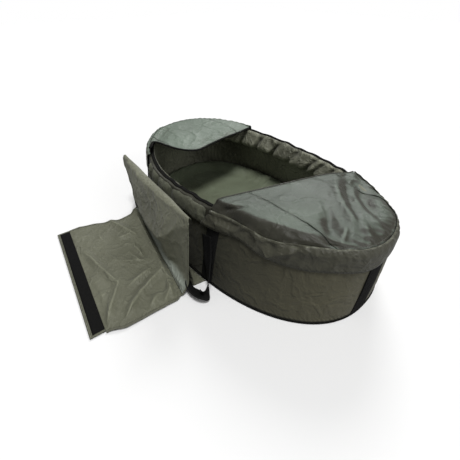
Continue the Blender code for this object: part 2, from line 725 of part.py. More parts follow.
def main():
    """Clear the scene and build the cradle."""
    for thing in list(bpy.data.objects):
        bpy.data.objects.remove(thing, do_unlink=True)
    collection = bpy.data.collections.new("carp_cradle")
    bpy.context.scene.collection.children.link(collection)
    build_base()
    build_walls()
    build_sewn_webbing()
    build_cap("near", NEAR_CAP_FRONT, NEAR_CAP_BULGE, NEAR_CROWN)
    build_cap("far", FAR_CAP_FRONT, FAR_CAP_BULGE, FAR_CROWN)
    build_flap_back()
    build_flap_wing()
    build_flap_apron()
    build_loop_strip()
    build_right_handle()
    build_left_handle()


main()
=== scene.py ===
"""Looks of the carp cradle: its cloth, foam pads, webbing, caps and open flap, on a pale studio floor.

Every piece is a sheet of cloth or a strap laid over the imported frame, in metres, in the frame's own axes:
+X towards the near end, the flap on the -Y side and +Z up.
"""

from __future__ import annotations

import json
import logging
import math
from collections.abc import Callable, Sequence
from dataclasses import dataclass, field
from enum import Enum
from typing import Any

import bmesh
import bpy
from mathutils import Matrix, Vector, noise

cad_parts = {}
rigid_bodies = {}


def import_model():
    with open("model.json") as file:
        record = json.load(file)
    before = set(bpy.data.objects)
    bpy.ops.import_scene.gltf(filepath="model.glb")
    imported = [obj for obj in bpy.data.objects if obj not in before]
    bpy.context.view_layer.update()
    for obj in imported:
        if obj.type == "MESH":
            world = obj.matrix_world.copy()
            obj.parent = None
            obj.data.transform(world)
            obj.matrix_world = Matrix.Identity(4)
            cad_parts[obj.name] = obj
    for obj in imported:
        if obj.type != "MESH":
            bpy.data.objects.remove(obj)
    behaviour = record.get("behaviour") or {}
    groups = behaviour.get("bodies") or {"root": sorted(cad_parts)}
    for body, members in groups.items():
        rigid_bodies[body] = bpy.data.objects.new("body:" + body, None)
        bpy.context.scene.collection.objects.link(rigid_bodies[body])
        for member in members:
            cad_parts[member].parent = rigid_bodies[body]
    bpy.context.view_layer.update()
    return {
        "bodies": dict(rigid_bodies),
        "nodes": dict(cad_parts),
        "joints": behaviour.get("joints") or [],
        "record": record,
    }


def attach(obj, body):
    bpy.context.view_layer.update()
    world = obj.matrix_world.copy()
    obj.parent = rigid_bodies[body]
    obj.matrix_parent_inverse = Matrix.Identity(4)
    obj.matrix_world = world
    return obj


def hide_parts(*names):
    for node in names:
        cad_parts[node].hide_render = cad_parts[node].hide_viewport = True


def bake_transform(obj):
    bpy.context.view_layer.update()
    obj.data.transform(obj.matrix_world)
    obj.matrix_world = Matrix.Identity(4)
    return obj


LOG = logging.getLogger("carp_cradle")

Place = Callable[[float, float], Vector]
Relief = Callable[[float, float, Vector], float]
Colour = tuple[float, float, float]
Pair = tuple[float, float]
Shares = dict[bmesh.types.BMVert, Pair]
Looks = dict[str, bpy.types.Material]
Ride = str | tuple[str, str, Vector, Vector]
UP = Vector((0, 0, 1))
MERGED = 0.00002


def mix(start: Any, end: Any, share: float) -> Any:
    """Return the value or point at this share of the way from start to end."""
    return start + (end - start) * share


def ease(value: float, low: float, high: float) -> float:
    """Return 0 below low, 1 above high and a smooth step between them."""
    share = min(max((value - low) / (high - low), 0.0), 1.0)
    return share * share * (3 - 2 * share)


def hump(value: float, middle: float, half: float) -> float:
    """Return a smooth hump of height 1 at middle that dies away over half."""
    return math.exp(-(((value - middle) / half) ** 2))


def ripple(x: float, y: float, step: float, seed: float) -> float:
    """Return smooth noise from -1 to 1 whose lumps are about step wide."""
    return noise.noise(Vector((x / step, y / step, seed)))


def crumple(x: float, y: float, step: float, seed: float) -> float:
    """Return noise with sharp ridges, from 0 to 1, as in creased nylon."""
    return (1 - abs(ripple(x, y, step, seed))) ** 4


def shaded(colour: Colour, share: float) -> Colour:
    """Return the colour made this many times as bright."""
    return tuple(share * value for value in colour)


class End(Enum):
    """An end of the tub, with the sign of its X."""

    NEAR = 1
    FAR = -1

    @property
    def word(self) -> str:
        """Return the word that the end's nodes start with."""
        return self.name.lower()


class Side(Enum):
    """A long side of the tub, with the sign of its Y."""

    LEFT = -1
    RIGHT = 1


class Joined(Enum):
    """How the edges of a grid meet: not at all, in a ring, in a tube round a ring, or in a closed rod."""

    OPEN = 0
    RING = 1
    TUBE = 2
    ROD = 3


class Term:
    """A number that changes over a surface. Python's operators on it add Math nodes."""

    def __init__(self, dye: Dye, socket: bpy.types.NodeSocket) -> None:
        """Wrap an output socket of the material that dye makes."""
        self.dye = dye
        self.socket = socket

    def _maths(self, operation: str, *values: Term | float) -> Term:
        """Return the result of a Math node on the values."""
        node = self.dye.node("ShaderNodeMath", {"operation": operation}, dict(enumerate(values)))
        return Term(self.dye, node.outputs[0])

    def __add__(self, other: Term | float) -> Term:
        """Return self + other."""
        return self._maths("ADD", self, other)

    def __radd__(self, other: float) -> Term:
        """Return other + self."""
        return self._maths("ADD", other, self)

    def __sub__(self, other: Term | float) -> Term:
        """Return self - other."""
        return self._maths("SUBTRACT", self, other)

    def __rsub__(self, other: float) -> Term:
        """Return other - self."""
        return self._maths("SUBTRACT", other, self)

    def __mul__(self, other: Term | float) -> Term:
        """Return self * other."""
        return self._maths("MULTIPLY", self, other)

    def __rmul__(self, other: float) -> Term:
        """Return other * self."""
        return self._maths("MULTIPLY", other, self)

    def wave(self, length: float) -> Term:
        """Return a sine from -1 to 1 that repeats over this length."""
        return self._maths("SINE", self * (2 * math.pi / length))

    def size(self) -> Term:
        """Return the value without its sign."""
        return self._maths("ABSOLUTE", self)

    def between(self, low: float, high: float) -> Term:
        """Return a smooth step from 0 at low to 1 at high.

        Args:
            low: where the step starts.
            high: where it ends.

        Returns:
            The step.
        """
        settings = {"interpolation_type": "SMOOTHSTEP"}
        inputs = {"Value": self, "From Min": low, "From Max": high}
        return Term(self.dye, self.dye.node("ShaderNodeMapRange", settings, inputs).outputs["Result"])


class Tree:
    """The nodes of a material or a world, and the one method that adds them."""

    def __init__(self, tree: bpy.types.NodeTree) -> None:
        """Wrap a tree of nodes."""
        self.tree = tree

    def feed(self, socket: bpy.types.NodeSocket, value: Any) -> None:
        """Link a term or socket to an input, or set the input's own value.

        Args:
            socket: the input.
            value: the term, socket or value.
        """
        if isinstance(value, Term):
            value = value.socket
        if isinstance(value, bpy.types.NodeSocket):
            self.tree.links.new(value, socket)
        else:
            socket.default_value = value

    def node(
        self, kind: str, settings: dict[str, Any] | None = None, inputs: dict[Any, Any] | None = None
    ) -> bpy.types.Node:
        """Add a node.

        Args:
            kind: the node's type.
            settings: its settings, set before its sockets.
            inputs: values or links of its sockets, by name or number.

        Returns:
            The node.
        """
        made = self.tree.nodes.new(kind)
        for name, value in (settings or {}).items():
            setattr(made, name, value)
        for name, value in (inputs or {}).items():
            self.feed(made.inputs[name], value)
        return made

    def shown_or_lit(self, shown: bpy.types.Node, lit: bpy.types.Node) -> bpy.types.NodeSocket:
        """Mix two shaders by who looks.

        Args:
            shown: the shader for the camera.
            lit: the shader for everything else.

        Returns:
            The output that mixes them.
        """
        seen = self.node("ShaderNodeLightPath").outputs["Is Camera Ray"]
        inputs = {0: seen, 1: lit.outputs[0], 2: shown.outputs[0]}
        return self.node("ShaderNodeMixShader", None, inputs).outputs[0]


class Dye(Tree):
    """One material's nodes."""

    def __init__(self, name: str) -> None:
        """Start a material with a Principled shader.

        Args:
            name: the material's name.
        """
        self.material = bpy.data.materials.new(name)
        self.material.use_nodes = True
        super().__init__(self.material.node_tree)
        self.shader = self.tree.nodes["Principled BSDF"]

    def place(self) -> bpy.types.NodeSocket:
        """Return the point on the object."""
        return self.node("ShaderNodeTexCoord").outputs["Object"]

    def noise(self, scale: float, detail: float = 3.0, twist: float = 0.0) -> Term:
        """Return noise from 0 to 1 over the object, scale lumps to the metre."""
        inputs = {"Vector": self.place(), "Scale": scale, "Detail": detail, "Distortion": twist}
        return Term(self, self.node("ShaderNodeTexNoise", None, inputs).outputs["Fac"])

    def along_cloth(self) -> tuple[Term, Term]:
        """Return how far the shaded point lies along and across its cloth.

        Returns:
            The two distances, in metres.
        """
        map_node = self.node("ShaderNodeUVMap", {"uv_map": "cloth"})
        parts = self.node("ShaderNodeSeparateXYZ", None, {"Vector": map_node.outputs["UV"]})
        return Term(self, parts.outputs["X"]), Term(self, parts.outputs["Y"])

    def kept(self, name: str) -> Term:
        """Return a number kept on the mesh: seam, the metres to the nearest seam, level or bent."""
        return Term(self, self.node("ShaderNodeAttribute", {"attribute_name": name}).outputs["Fac"])

    def mixed(self, share: Term, first: Any, second: Any) -> bpy.types.NodeSocket:
        """Return the colour at this share of the way from first to second.

        Args:
            share: the share.
            first: a colour or the output of a node.
            second: the same.

        Returns:
            The colour's output.
        """
        node = self.node("ShaderNodeMix", {"data_type": "RGBA"}, {"Factor": share})
        for socket, colour in zip([each for each in node.inputs if each.type == "RGBA"], (first, second)):
            self.feed(socket, (*colour, 1.0) if isinstance(colour, tuple) else colour)
        return next(each for each in node.outputs if each.type == "RGBA")

    def bump(self, height: Term, depth: float, under: Any = None) -> bpy.types.NodeSocket:
        """Return the normal of a surface with bumps.

        Args:
            height: the height, about 0 to 1.
            depth: what a height of 1 comes to, in metres.
            under: the normal that the bumps stand on.

        Returns:
            The normal's output.
        """
        inputs: dict[str, Any] = {"Height": height, "Distance": depth, "Strength": 1.0}
        if under is not None:
            inputs["Normal"] = under
        return self.node("ShaderNodeBump", None, inputs).outputs["Normal"]

    def surface(self, **sockets: Any) -> bpy.types.Material:
        """Set the shader's sockets.

        Args:
            **sockets: what each socket gets, its name with underscores for spaces.

        Returns:
            The material.
        """
        for name, value in sockets.items():
            self.feed(self.shader.inputs[name.replace("_", " ")], value)
        return self.material


@dataclass(frozen=True)
class Nylon:
    """Coated nylon: a plain weave under a dull skin, with creases, soiling and sewn edges.

    Attributes:
        name: the material's name.
        colour: the cloth's own colour.
        folds: its darker colour where the cloth shows wear; dimmed, it is also the painted shade in the
            bottoms of its folds and the dark along its seams.
        roughness: the skin's roughness.
        crease_depth: how deep the small creases are, in metres.
        crease_scale: how many of them lie in a metre.
        thread: the colour of the stitches.
        thread_pitch: the distance of two threads.
        stitch: the length of a stitch.
        hem: how far the stitches lie from a seam.
        sheen: the share of pale fluff.
        side: the darker colour where the cloth hangs steeply: painted shade.
        turned: how level the cloth is where that painted shade ends, from and to.
        valley: how much painted shade darkens the bottoms of its folds.
        dusty: painted light: the paler colour towards the near nose.
        shining: a painted highlight: the paler colour of a band by its seam.
    """

    name: str
    colour: Colour
    folds: Colour
    roughness: float
    crease_depth: float = 0.0012
    crease_scale: float = 9.0
    thread: Colour = (0.10, 0.10, 0.08)
    thread_pitch: float = 0.0016
    stitch: float = 0.005
    hem: float = 0.006
    sheen: float = 0.07
    side: Colour | None = None
    turned: tuple[float, float] = (0.84, 1.0)
    valley: float = 0.75
    dusty: Colour | None = None
    shining: Colour | None = None

    def dye(self) -> bpy.types.Material:
        """Make the material.

        Returns:
            The material.
        """
        dye = Dye(self.name)
        along, across = dye.along_cloth()
        seam = dye.kept("seam")
        cloudy = dye.noise(5.0, 4.0)
        creased = 1 - (dye.noise(self.crease_scale, 3.0, twist=0.6) - 0.5).size().between(0.0, 0.07)
        fine = 1 - (dye.noise(self.crease_scale * 3.1, 2.0, twist=0.4) - 0.5).size().between(0.0, 0.10)
        weave = along.wave(self.thread_pitch) * across.wave(self.thread_pitch)
        in_line = 1 - (seam - self.hem).size().between(0.0005, 0.0010)
        stitched = in_line * (along + across).wave(self.stitch).between(-0.35, -0.15)
        puckered = (1 - seam.between(0.0, 0.022)) * (along + across).wave(0.017)
        welt = 1 - seam.between(0.0, 0.0022)
        # Random mottling as wear, plus a painted highlight: the raised crease lines of the bump are made
        # paler.
        wear_and_crease_highlight = cloudy.between(0.30, 0.72) * 0.7 + creased * 0.15 + fine * 0.08
        tone = dye.mixed(wear_and_crease_highlight, self.folds, self.colour)
        # Painted highlight on ridges and painted shade in the bottoms of folds, by how sharply the mesh is
        # bent there.
        bent = dye.kept("bent")
        tone = dye.mixed(bent.between(0.12, 1.0) * 0.45, tone, shaded(self.colour, 1.45))
        tone = dye.mixed((0 - bent).between(0.12, 1.0) * self.valley, tone, shaded(self.folds, 0.42))
        # Painted light: the cloth turns paler towards the near nose.
        if self.dusty:
            parts = dye.node("ShaderNodeSeparateXYZ", None, {"Vector": dye.place()})
            nose_light_share = Term(dye, parts.outputs["X"]).between(0.12, 0.58) * (0.6 + 0.4 * cloudy)
            tone = dye.mixed(nose_light_share, tone, self.dusty)
        # Painted highlight: a pale band along the seam.
        if self.shining:
            tone = dye.mixed((1 - seam.between(0.016, 0.044)) * (0.7 + 0.3 * cloudy), tone, self.shining)
        # Painted shade by slope: where the cloth hangs steeply, its colour turns to the darker side colour.
        if self.side:
            steep_shade = 1 - dye.kept("level").between(*self.turned)
            tone = dye.mixed(steep_shade, tone, dye.mixed(wear_and_crease_highlight, shaded(self.side, 0.75), self.side))
        tone = dye.mixed(welt * 0.55, tone, shaded(self.folds, 0.35))
        tone = dye.mixed(stitched, tone, self.thread)
        normal = dye.bump(cloudy + creased * 0.5, self.crease_depth * 3)
        normal = dye.bump(fine, self.crease_depth * 0.5, normal)
        normal = dye.bump(puckered + stitched - 2 * welt, 0.0007, normal)
        normal = dye.bump(weave, 0.00009, normal)
        return dye.surface(
            Base_Color=tone,
            Roughness=self.roughness + 0.16 * (dye.noise(14.0, 2.0) - 0.5) - 0.05 * creased,
            Normal=normal,
            Sheen_Weight=self.sheen,
            Sheen_Roughness=0.5,
            Specular_IOR_Level=0.36,
        )


@dataclass(frozen=True)
class Webbing:
    """Black woven webbing with ribs across it, selvedges and a line of stitches by each edge.

    Attributes:
        name: the material's name.
        width: the webbing's width.
        colour: the colour between its ribs.
        raised: the paler colour on them: a painted highlight, mixed with random specks.
        rib: how far apart they are.
        stitch: the length of a stitch.
    """

    name: str
    width: float
    colour: Colour = (0.006, 0.006, 0.006)
    raised: Colour = (0.016, 0.016, 0.016)
    rib: float = 0.0024
    stitch: float = 0.0045

    def dye(self) -> bpy.types.Material:
        """Make the material.

        Returns:
            The material.
        """
        dye = Dye(self.name)
        along, across = dye.along_cloth()
        middle = (across - self.width / 2).size()
        ribs = (along + middle * 0.6).wave(self.rib)
        yarn = across.wave(self.rib * 0.55)
        selvedge = middle.between(self.width / 2 - 0.0035, self.width / 2 - 0.0025)
        in_line = 1 - (middle - (self.width / 2 - 0.005)).size().between(0.0004, 0.0009)
        stitched = in_line * along.wave(self.stitch).between(-0.3, 0.0)
        # Painted highlight: the raised ribs are paler, mixed with random specks.
        lit = ribs.between(-0.2, 0.9) * 0.6 + dye.noise(40.0) * 0.4
        tone = dye.mixed(lit, self.colour, self.raised)
        tone = dye.mixed(stitched * 0.6, tone, (0.03, 0.03, 0.03))
        normal = dye.bump(ribs * (1 - selvedge) + yarn * 0.5 + selvedge + stitched, 0.00035)
        roughness = 0.80 - 0.10 * lit
        return dye.surface(Base_Color=tone, Roughness=roughness, Normal=normal, Specular_IOR_Level=0.10)


@dataclass(frozen=True)
class HookTape:
    """Hook or loop tape: a dense black pile with a plain woven edge.

    Attributes:
        name: the material's name.
        width: the tape's width.
        colour: the colour at the foot of its pile.
        tips: the colour at the pile's tips.
    """

    name: str
    width: float
    colour: Colour = (0.006, 0.006, 0.006)
    tips: Colour = (0.026, 0.026, 0.024)

    def dye(self) -> bpy.types.Material:
        """Make the material.

        Returns:
            The material.
        """
        dye = Dye(self.name)
        along, across = dye.along_cloth()
        middle = (across - self.width / 2).size()
        edge = middle.between(self.width / 2 - 0.0025, self.width / 2 - 0.0015)
        pile = dye.noise(900.0, 2.0) * 0.6 + (along.wave(0.0019) * across.wave(0.0019) * 0.5 + 0.5) * 0.4
        tone = dye.mixed(pile.between(0.45, 0.9) * (1 - edge), self.colour, self.tips)
        normal = dye.bump(pile * (1 - edge), 0.0009)
        return dye.surface(Base_Color=tone, Roughness=0.95, Normal=normal, Specular_IOR_Level=0.08)


@dataclass(frozen=True)
class Foam:
    """Closed-cell foam: pale grey with fine cells.

    Attributes:
        name: the material's name.
        colour: its colour.
    """

    name: str = "foam"
    colour: Colour = (0.30, 0.30, 0.28)

    def dye(self) -> bpy.types.Material:
        """Make the material.

        Returns:
            The material.
        """
        dye = Dye(self.name)
        cells = dye.noise(420.0, 2.0)
        tone = dye.mixed(cells, shaded(self.colour, 0.7), self.colour)
        return dye.surface(Base_Color=tone, Roughness=0.95, Normal=dye.bump(cells, 0.0006))


@dataclass(frozen=True)
class Finishes:
    """Every finish of the cradle.

    Attributes:
        wall: the outer wall's cloth, with painted light paling it towards the near nose.
        flap: the open flap's cloth.
        wing: the flap's hanging wing: the flap's cloth given a paler colour as painted light.
        cap: the near cap's crown: the skirt's olive cloth given a paler blue-green colour as painted
            reflection of the overhead light.
        skirt: the near cap's skirt.
        hood: the far cap: the same olive cloth given a paler blue-green colour as painted reflection of the
            overhead light.
        lining: the gathered lining.
        mat: the floor mat.
        binding: the tape over the rim.
        webbing: the webbing sewn to the wall.
        strap: the handles' webbing.
        hooks: the hook tape on the flap's tip.
        loops: the loop tape on the right wall.
        pads: the padded shoulder: the wall's cloth given a paler colour as painted light on its upward
            face.
        foam: the boards and the sheet of foam.
    """

    # Its paler colour towards the nose is painted light.
    wall: Nylon = Nylon(
        "wall_nylon", (0.033, 0.033, 0.021), (0.032, 0.031, 0.019), 0.58, dusty=(0.112, 0.105, 0.064)
    )
    flap: Nylon = Nylon(
        "flap_nylon",
        (0.170, 0.174, 0.124),
        (0.122, 0.124, 0.086),
        0.54,
        crease_depth=0.0016,
        thread=(0.05, 0.05, 0.04),
        valley=0.3,
    )
    # The flap's own cloth, given a paler colour as painted light on the hanging wing, with a painted
    # highlight band by its foot.
    wing: Nylon = Nylon(
        "wing_nylon",
        (0.200, 0.204, 0.148),
        (0.136, 0.138, 0.096),
        0.54,
        crease_depth=0.0016,
        valley=0.3,
        shining=(0.27, 0.30, 0.26),
    )
    # Crown and hood are the skirt's olive cloth, paler and bluer as painted reflection of the overhead
    # light; each side colour is painted shade where the cloth hangs steeply.
    cap: Nylon = Nylon(
        "cap_nylon",
        (0.142, 0.174, 0.138),
        (0.085, 0.103, 0.082),
        0.38,
        crease_scale=6.0,
        side=(0.046, 0.045, 0.032),
        turned=(0.89, 1.0),
    )
    # Its side colour is painted shade where the skirt hangs steeply.
    skirt: Nylon = Nylon(
        "skirt_nylon", (0.130, 0.134, 0.096), (0.092, 0.094, 0.066), 0.46, side=(0.074, 0.073, 0.051)
    )
    # Paler and bluer than the skirt as painted reflection of the overhead light; its side colour is painted
    # shade.
    hood: Nylon = Nylon(
        "hood_nylon",
        (0.180, 0.228, 0.180),
        (0.130, 0.165, 0.130),
        0.46,
        crease_scale=6.0,
        side=(0.080, 0.086, 0.062),
    )
    lining: Nylon = Nylon(
        "lining_nylon",
        (0.235, 0.240, 0.178),
        (0.058, 0.058, 0.040),
        0.50,
        crease_depth=0.0020,
        crease_scale=14.0,
    )
    mat: Nylon = Nylon(
        "mat_cloth",
        (0.190, 0.222, 0.150),
        (0.130, 0.146, 0.096),
        0.48,
        crease_depth=0.0009,
        crease_scale=5.0,
    )
    binding: Webbing = Webbing(
        "binding_tape", 0.030, colour=(0.004, 0.004, 0.003), raised=(0.008, 0.008, 0.007)
    )
    webbing: Webbing = Webbing("sewn_webbing", 0.050)
    strap: Webbing = Webbing("handle_webbing", 0.045)
    hooks: HookTape = HookTape("hook_tape", 0.036)
    loops: HookTape = HookTape("loop_tape", 0.038)
    # The wall's cloth, given a paler colour as painted light on the shoulder's upward face.
    pads: Nylon = Nylon("pad_nylon", (0.100, 0.104, 0.074), (0.072, 0.075, 0.052), 0.50)
    foam: Foam = Foam()


@dataclass(frozen=True)
class Eye:
    """The photo's camera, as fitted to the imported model. It places folds where the photo shows them.

    Attributes:
        place: where it stands.
        heading: which way it looks, as an angle from +X.
        tilt: how far it looks up.
        focal_pixels: its focal length, in the photo's pixels.
        frame_pixels: the photo's width and height.
    """

    place: tuple[float, float, float] = (0.8143, -0.7566, 0.8131)
    heading: float = 2.4632
    tilt: float = -0.6501
    focal_pixels: float = 328.75
    frame_pixels: float = 460.0

    def forward(self) -> Vector:
        """Return the way that the camera looks."""
        level = math.cos(self.tilt)
        return Vector((level * math.cos(self.heading), level * math.sin(self.heading), math.sin(self.tilt)))

    def pixel(self, point: Vector) -> Vector:
        """Return where a point of the frame shows in the photo.

        Args:
            point: the point.

        Returns:
            The pixel, from the photo's upper left corner.
        """
        away, forward = point - Vector(self.place), self.forward()
        right = forward.cross(UP).normalized()
        scale = self.focal_pixels / away.dot(forward)
        middle = self.frame_pixels / 2
        return Vector((middle + away.dot(right) * scale, middle - away.dot(right.cross(forward)) * scale))


EYE = Eye()


@dataclass(frozen=True)
class Crease:
    """A ridge or valley in the cloth where the photo shows one.

    Attributes:
        start_pixel: one of its ends, in the photo's pixels.
        end_pixel: the other.
        height: its height in metres, below 0 for a valley.
        width: half its width, in the photo's pixels.
        sharp: whether it has a crest.
    """

    start_pixel: Pair
    end_pixel: Pair
    height: float
    width: float
    sharp: bool = False

    def push(self, pixel: Vector) -> float:
        """Return how far the crease lifts the cloth.

        Args:
            pixel: where the cloth shows in the photo.

        Returns:
            The lift, below 0 in a valley.
        """
        first = Vector(self.start_pixel)
        run = Vector(self.end_pixel) - first
        share = min(max((pixel - first).dot(run) / run.length_squared, 0.0), 1.0)
        away = (pixel - first - run * share).length / self.width
        if away > 3:
            return 0.0
        shape = max(0.0, 1 - away / 1.6) ** 1.4 if self.sharp else math.exp(-away * away)
        return self.height * shape * (0.35 + 0.65 * math.sin(math.pi * share))


def creased(creases: Sequence[Crease], point: Vector) -> float:
    """Return how far all the creases together lift the cloth at this point of the frame."""
    pixel = EYE.pixel(point)
    return sum(crease.push(pixel) for crease in creases)


@dataclass
class Cloth:
    """A grid of cloth: laid over a surface, then pushed into folds along its own normals.

    Attributes:
        name: the piece's name.
        cells: faces along and across the grid.
        place: the point at shares (u, v) of the grid; the outside is where u, then v, turn anticlockwise.
        finish: the material.
        relief: how far the cloth stands off the surface at (u, v).
        joined: how the grid's edges meet.
        sewn: the sides with a seam, as letters: l and r where u is 0 and 1, b and t where v is 0 and 1.
        lines: more seams inside the cloth, as pairs of (u, v) points.
        thickness: the cloth's thickness, behind its outer face.
        size: the cloth's flat size, once it is built.
        area: its area, once it is built.
        points: its points by column and row, once it is built.
    """

    name: str
    cells: tuple[int, int]
    place: Place
    finish: bpy.types.Material
    relief: Relief | None = None
    joined: Joined = Joined.OPEN
    sewn: str = ""
    lines: Sequence[tuple[Pair, Pair]] = ()
    thickness: float = 0.0012
    size: Pair = field(default=(0.0, 0.0), init=False)
    area: float = field(default=0.0, init=False)
    points: dict[tuple[int, int], Vector] = field(default_factory=dict, init=False)

    def lay(
        self,
        ride: Ride,
        nodes: Sequence[str],
        slot: str,
        held: str = "",
        rests_on: Sequence[str] = (),
        cut: bool = False,
    ) -> None:
        """Make the piece, attach it to its body or bake its transform, and hide the frame's nodes that it
        takes the place of.

        Args:
            ride: what it rides on, as for dress.
            nodes: the frame's nodes that it takes the place of.
            slot: not used.
            held: not used.
            rests_on: not used.
            cut: not used.
        """
        piece = self.build()
        dress(piece, ride, nodes)

    def build(self) -> bpy.types.Object:
        """Make the piece.

        Returns:
            Its object.
        """
        grid = bmesh.new()
        cloth_map, seam = grid.loops.layers.uv.new("cloth"), grid.verts.layers.float.new("seam")
        level, bent = grid.verts.layers.float.new("level"), grid.verts.layers.float.new("bent")
        columns, rows = self.cells
        bmesh.ops.create_grid(grid, x_segments=columns, y_segments=rows, size=0.5)
        shares = {vert: (vert.co.x + 0.5, vert.co.y + 0.5) for vert in grid.verts}
        for vert, (u, v) in shares.items():
            vert.co = self.place(u, v)
        self.size = (self._length(True), self._length(False))
        self.area = sum(face.calc_area() for face in grid.faces)
        self._mark(grid, shares, cloth_map, seam)
        grid.normal_update()
        if self.relief:
            moves = {vert: vert.normal * self.relief(*share, vert.co) for vert, share in shares.items()}
            for vert, move in moves.items():
                vert.co += move
            grid.normal_update()
        for vert in grid.verts:
            vert[level] = max(0.0, vert.normal.z)
        self._bends(grid, bent)
        for vert, (u, v) in shares.items():
            self.points[round(u * columns), round(v * rows)] = vert.co.copy()
        if self.joined in (Joined.RING, Joined.TUBE):
            self._join(grid, shares)
        return self._finish(grid)

    def line(self, column: float) -> list[Vector]:
        """Return the finished cloth's points along the column at this share of its width."""
        columns, rows = self.cells
        return [self.points[round(column * columns), index] for index in range(rows + 1)]

    def _length(self, along: bool) -> float:
        """Return the laid cloth's length on its middle line."""
        steps = [self.place(i / 40, 0.5) if along else self.place(0.5, i / 40) for i in range(41)]
        return sum((after - before).length for before, after in zip(steps, steps[1:]))

    def _mark(self, grid: bmesh.types.BMesh, shares: Shares, cloth_map: Any, seam: Any) -> None:
        """Give the grid its map, in metres, and its distance from the seams.

        Args:
            grid: the cloth.
            shares: where each point lies on the grid, as (u, v).
            cloth_map: the layer for the map.
            seam: the layer for the distance.
        """
        width, height = self.size
        for face in grid.faces:
            for loop in face.loops:
                u, v = shares[loop.vert]
                loop[cloth_map].uv = (u * width, v * height)
        sides = {"l": (0, 0.0), "r": (0, 1.0), "b": (1, 0.0), "t": (1, 1.0)}
        edges = [sides[letter] for letter in self.sewn]
        for vert, share in shares.items():
            away = [abs(share[axis] - at) * self.size[axis] for axis, at in edges]
            away += [self._from_line(share, line) for line in self.lines]
            vert[seam] = min(away, default=1.0)

    @staticmethod
    def _bends(grid: bmesh.types.BMesh, bent: Any) -> None:
        """Note how sharply the cloth is bent: up to 1 along a ridge and down to -1 along a valley.

        Args:
            grid: the cloth.
            bent: the layer for the numbers.
        """
        near = {vert: [edge.other_vert(vert) for edge in vert.link_edges] for vert in grid.verts}
        bends = {}
        for vert, others in near.items():
            middle = sum((other.co for other in others), Vector()) / len(others)
            step = sum((other.co - vert.co).length_squared for other in others) / len(others)
            bends[vert] = 4 * (vert.co - middle).dot(vert.normal) / max(step, 1e-8)
        for _round in range(2):
            bends = {
                vert: (bends[vert] + sum(bends[other] for other in others)) / (1 + len(others))
                for vert, others in near.items()
            }
        for vert, value in bends.items():
            vert[bent] = 0.0 if vert.is_boundary else max(-1.0, min(1.0, value / 110.0))

    def _from_line(self, share: Pair, line: tuple[Pair, Pair]) -> float:
        """Return how far a point of the grid lies from a seam inside the cloth.

        Args:
            share: the point's (u, v).
            line: the (u, v) of the seam's two ends.

        Returns:
            The distance, in metres.
        """
        here, first, last = (Vector((u * self.size[0], v * self.size[1])) for u, v in (share, *line))
        run = last - first
        part = min(max((here - first).dot(run) / run.length_squared, 0.0), 1.0)
        return (here - first - run * part).length

    def _join(self, grid: bmesh.types.BMesh, shares: Shares) -> None:
        """Close the grid into a ring, or into a tube round a ring.

        Args:
            grid: the cloth.
            shares: the (u, v) of each of its points.
        """
        edge = [vert for vert, (u, _v) in shares.items() if u in (0.0, 1.0)]
        if self.joined is Joined.TUBE:
            edge = [vert for vert, (u, v) in shares.items() if u in (0.0, 1.0) or v in (0.0, 1.0)]
        bmesh.ops.remove_doubles(grid, verts=edge, dist=MERGED)

    def _finish(self, grid: bmesh.types.BMesh) -> bpy.types.Object:
        """Turn the grid into an object, with its thickness behind its outer face.

        Args:
            grid: the cloth, which is freed.

        Returns:
            The object.
        """
        mesh = bpy.data.meshes.new(self.name)
        grid.to_mesh(mesh)
        grid.free()
        mesh.materials.append(self.finish)
        mesh.shade_smooth()
        piece = bpy.data.objects.new(self.name, mesh)
        bpy.context.scene.collection.objects.link(piece)
        if self.joined is Joined.ROD:
            close_tube(piece)
        elif self.joined is not Joined.TUBE:
            skin = piece.modifiers.new("thickness", "SOLIDIFY")
            skin.thickness = self.thickness
            skin.offset = -1
        LOG.info("%s: %d faces, %.3f by %.3f m", self.name, len(mesh.polygons), *self.size)
        return piece


def dress(piece: bpy.types.Object, ride: Ride, nodes: Sequence[str]) -> None:
    """Attach a piece to its body, or bake its transform, and hide the frame's nodes that it takes the place
    of.

    Args:
        piece: the piece.
        ride: its body, or a tuple of two bodies and two points, for which the piece is attached to no body
            and its transform is baked.
        nodes: the frame's nodes that it takes the place of.
    """
    if isinstance(ride, str):
        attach(piece, ride)
    if nodes:
        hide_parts(*nodes)
    if not isinstance(ride, str):
        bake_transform(piece)


def close_tube(piece: bpy.types.Object) -> None:
    """Join the long edges of an open tube and close its two ends.

    Args:
        piece: the tube.
    """
    shape = bmesh.new()
    shape.from_mesh(piece.data)
    bmesh.ops.remove_doubles(shape, verts=shape.verts, dist=MERGED)
    bmesh.ops.holes_fill(shape, edges=[edge for edge in shape.edges if edge.is_boundary], sides=0)
    bmesh.ops.recalc_face_normals(shape, faces=shape.faces)
    shape.to_mesh(piece.data)
    shape.free()


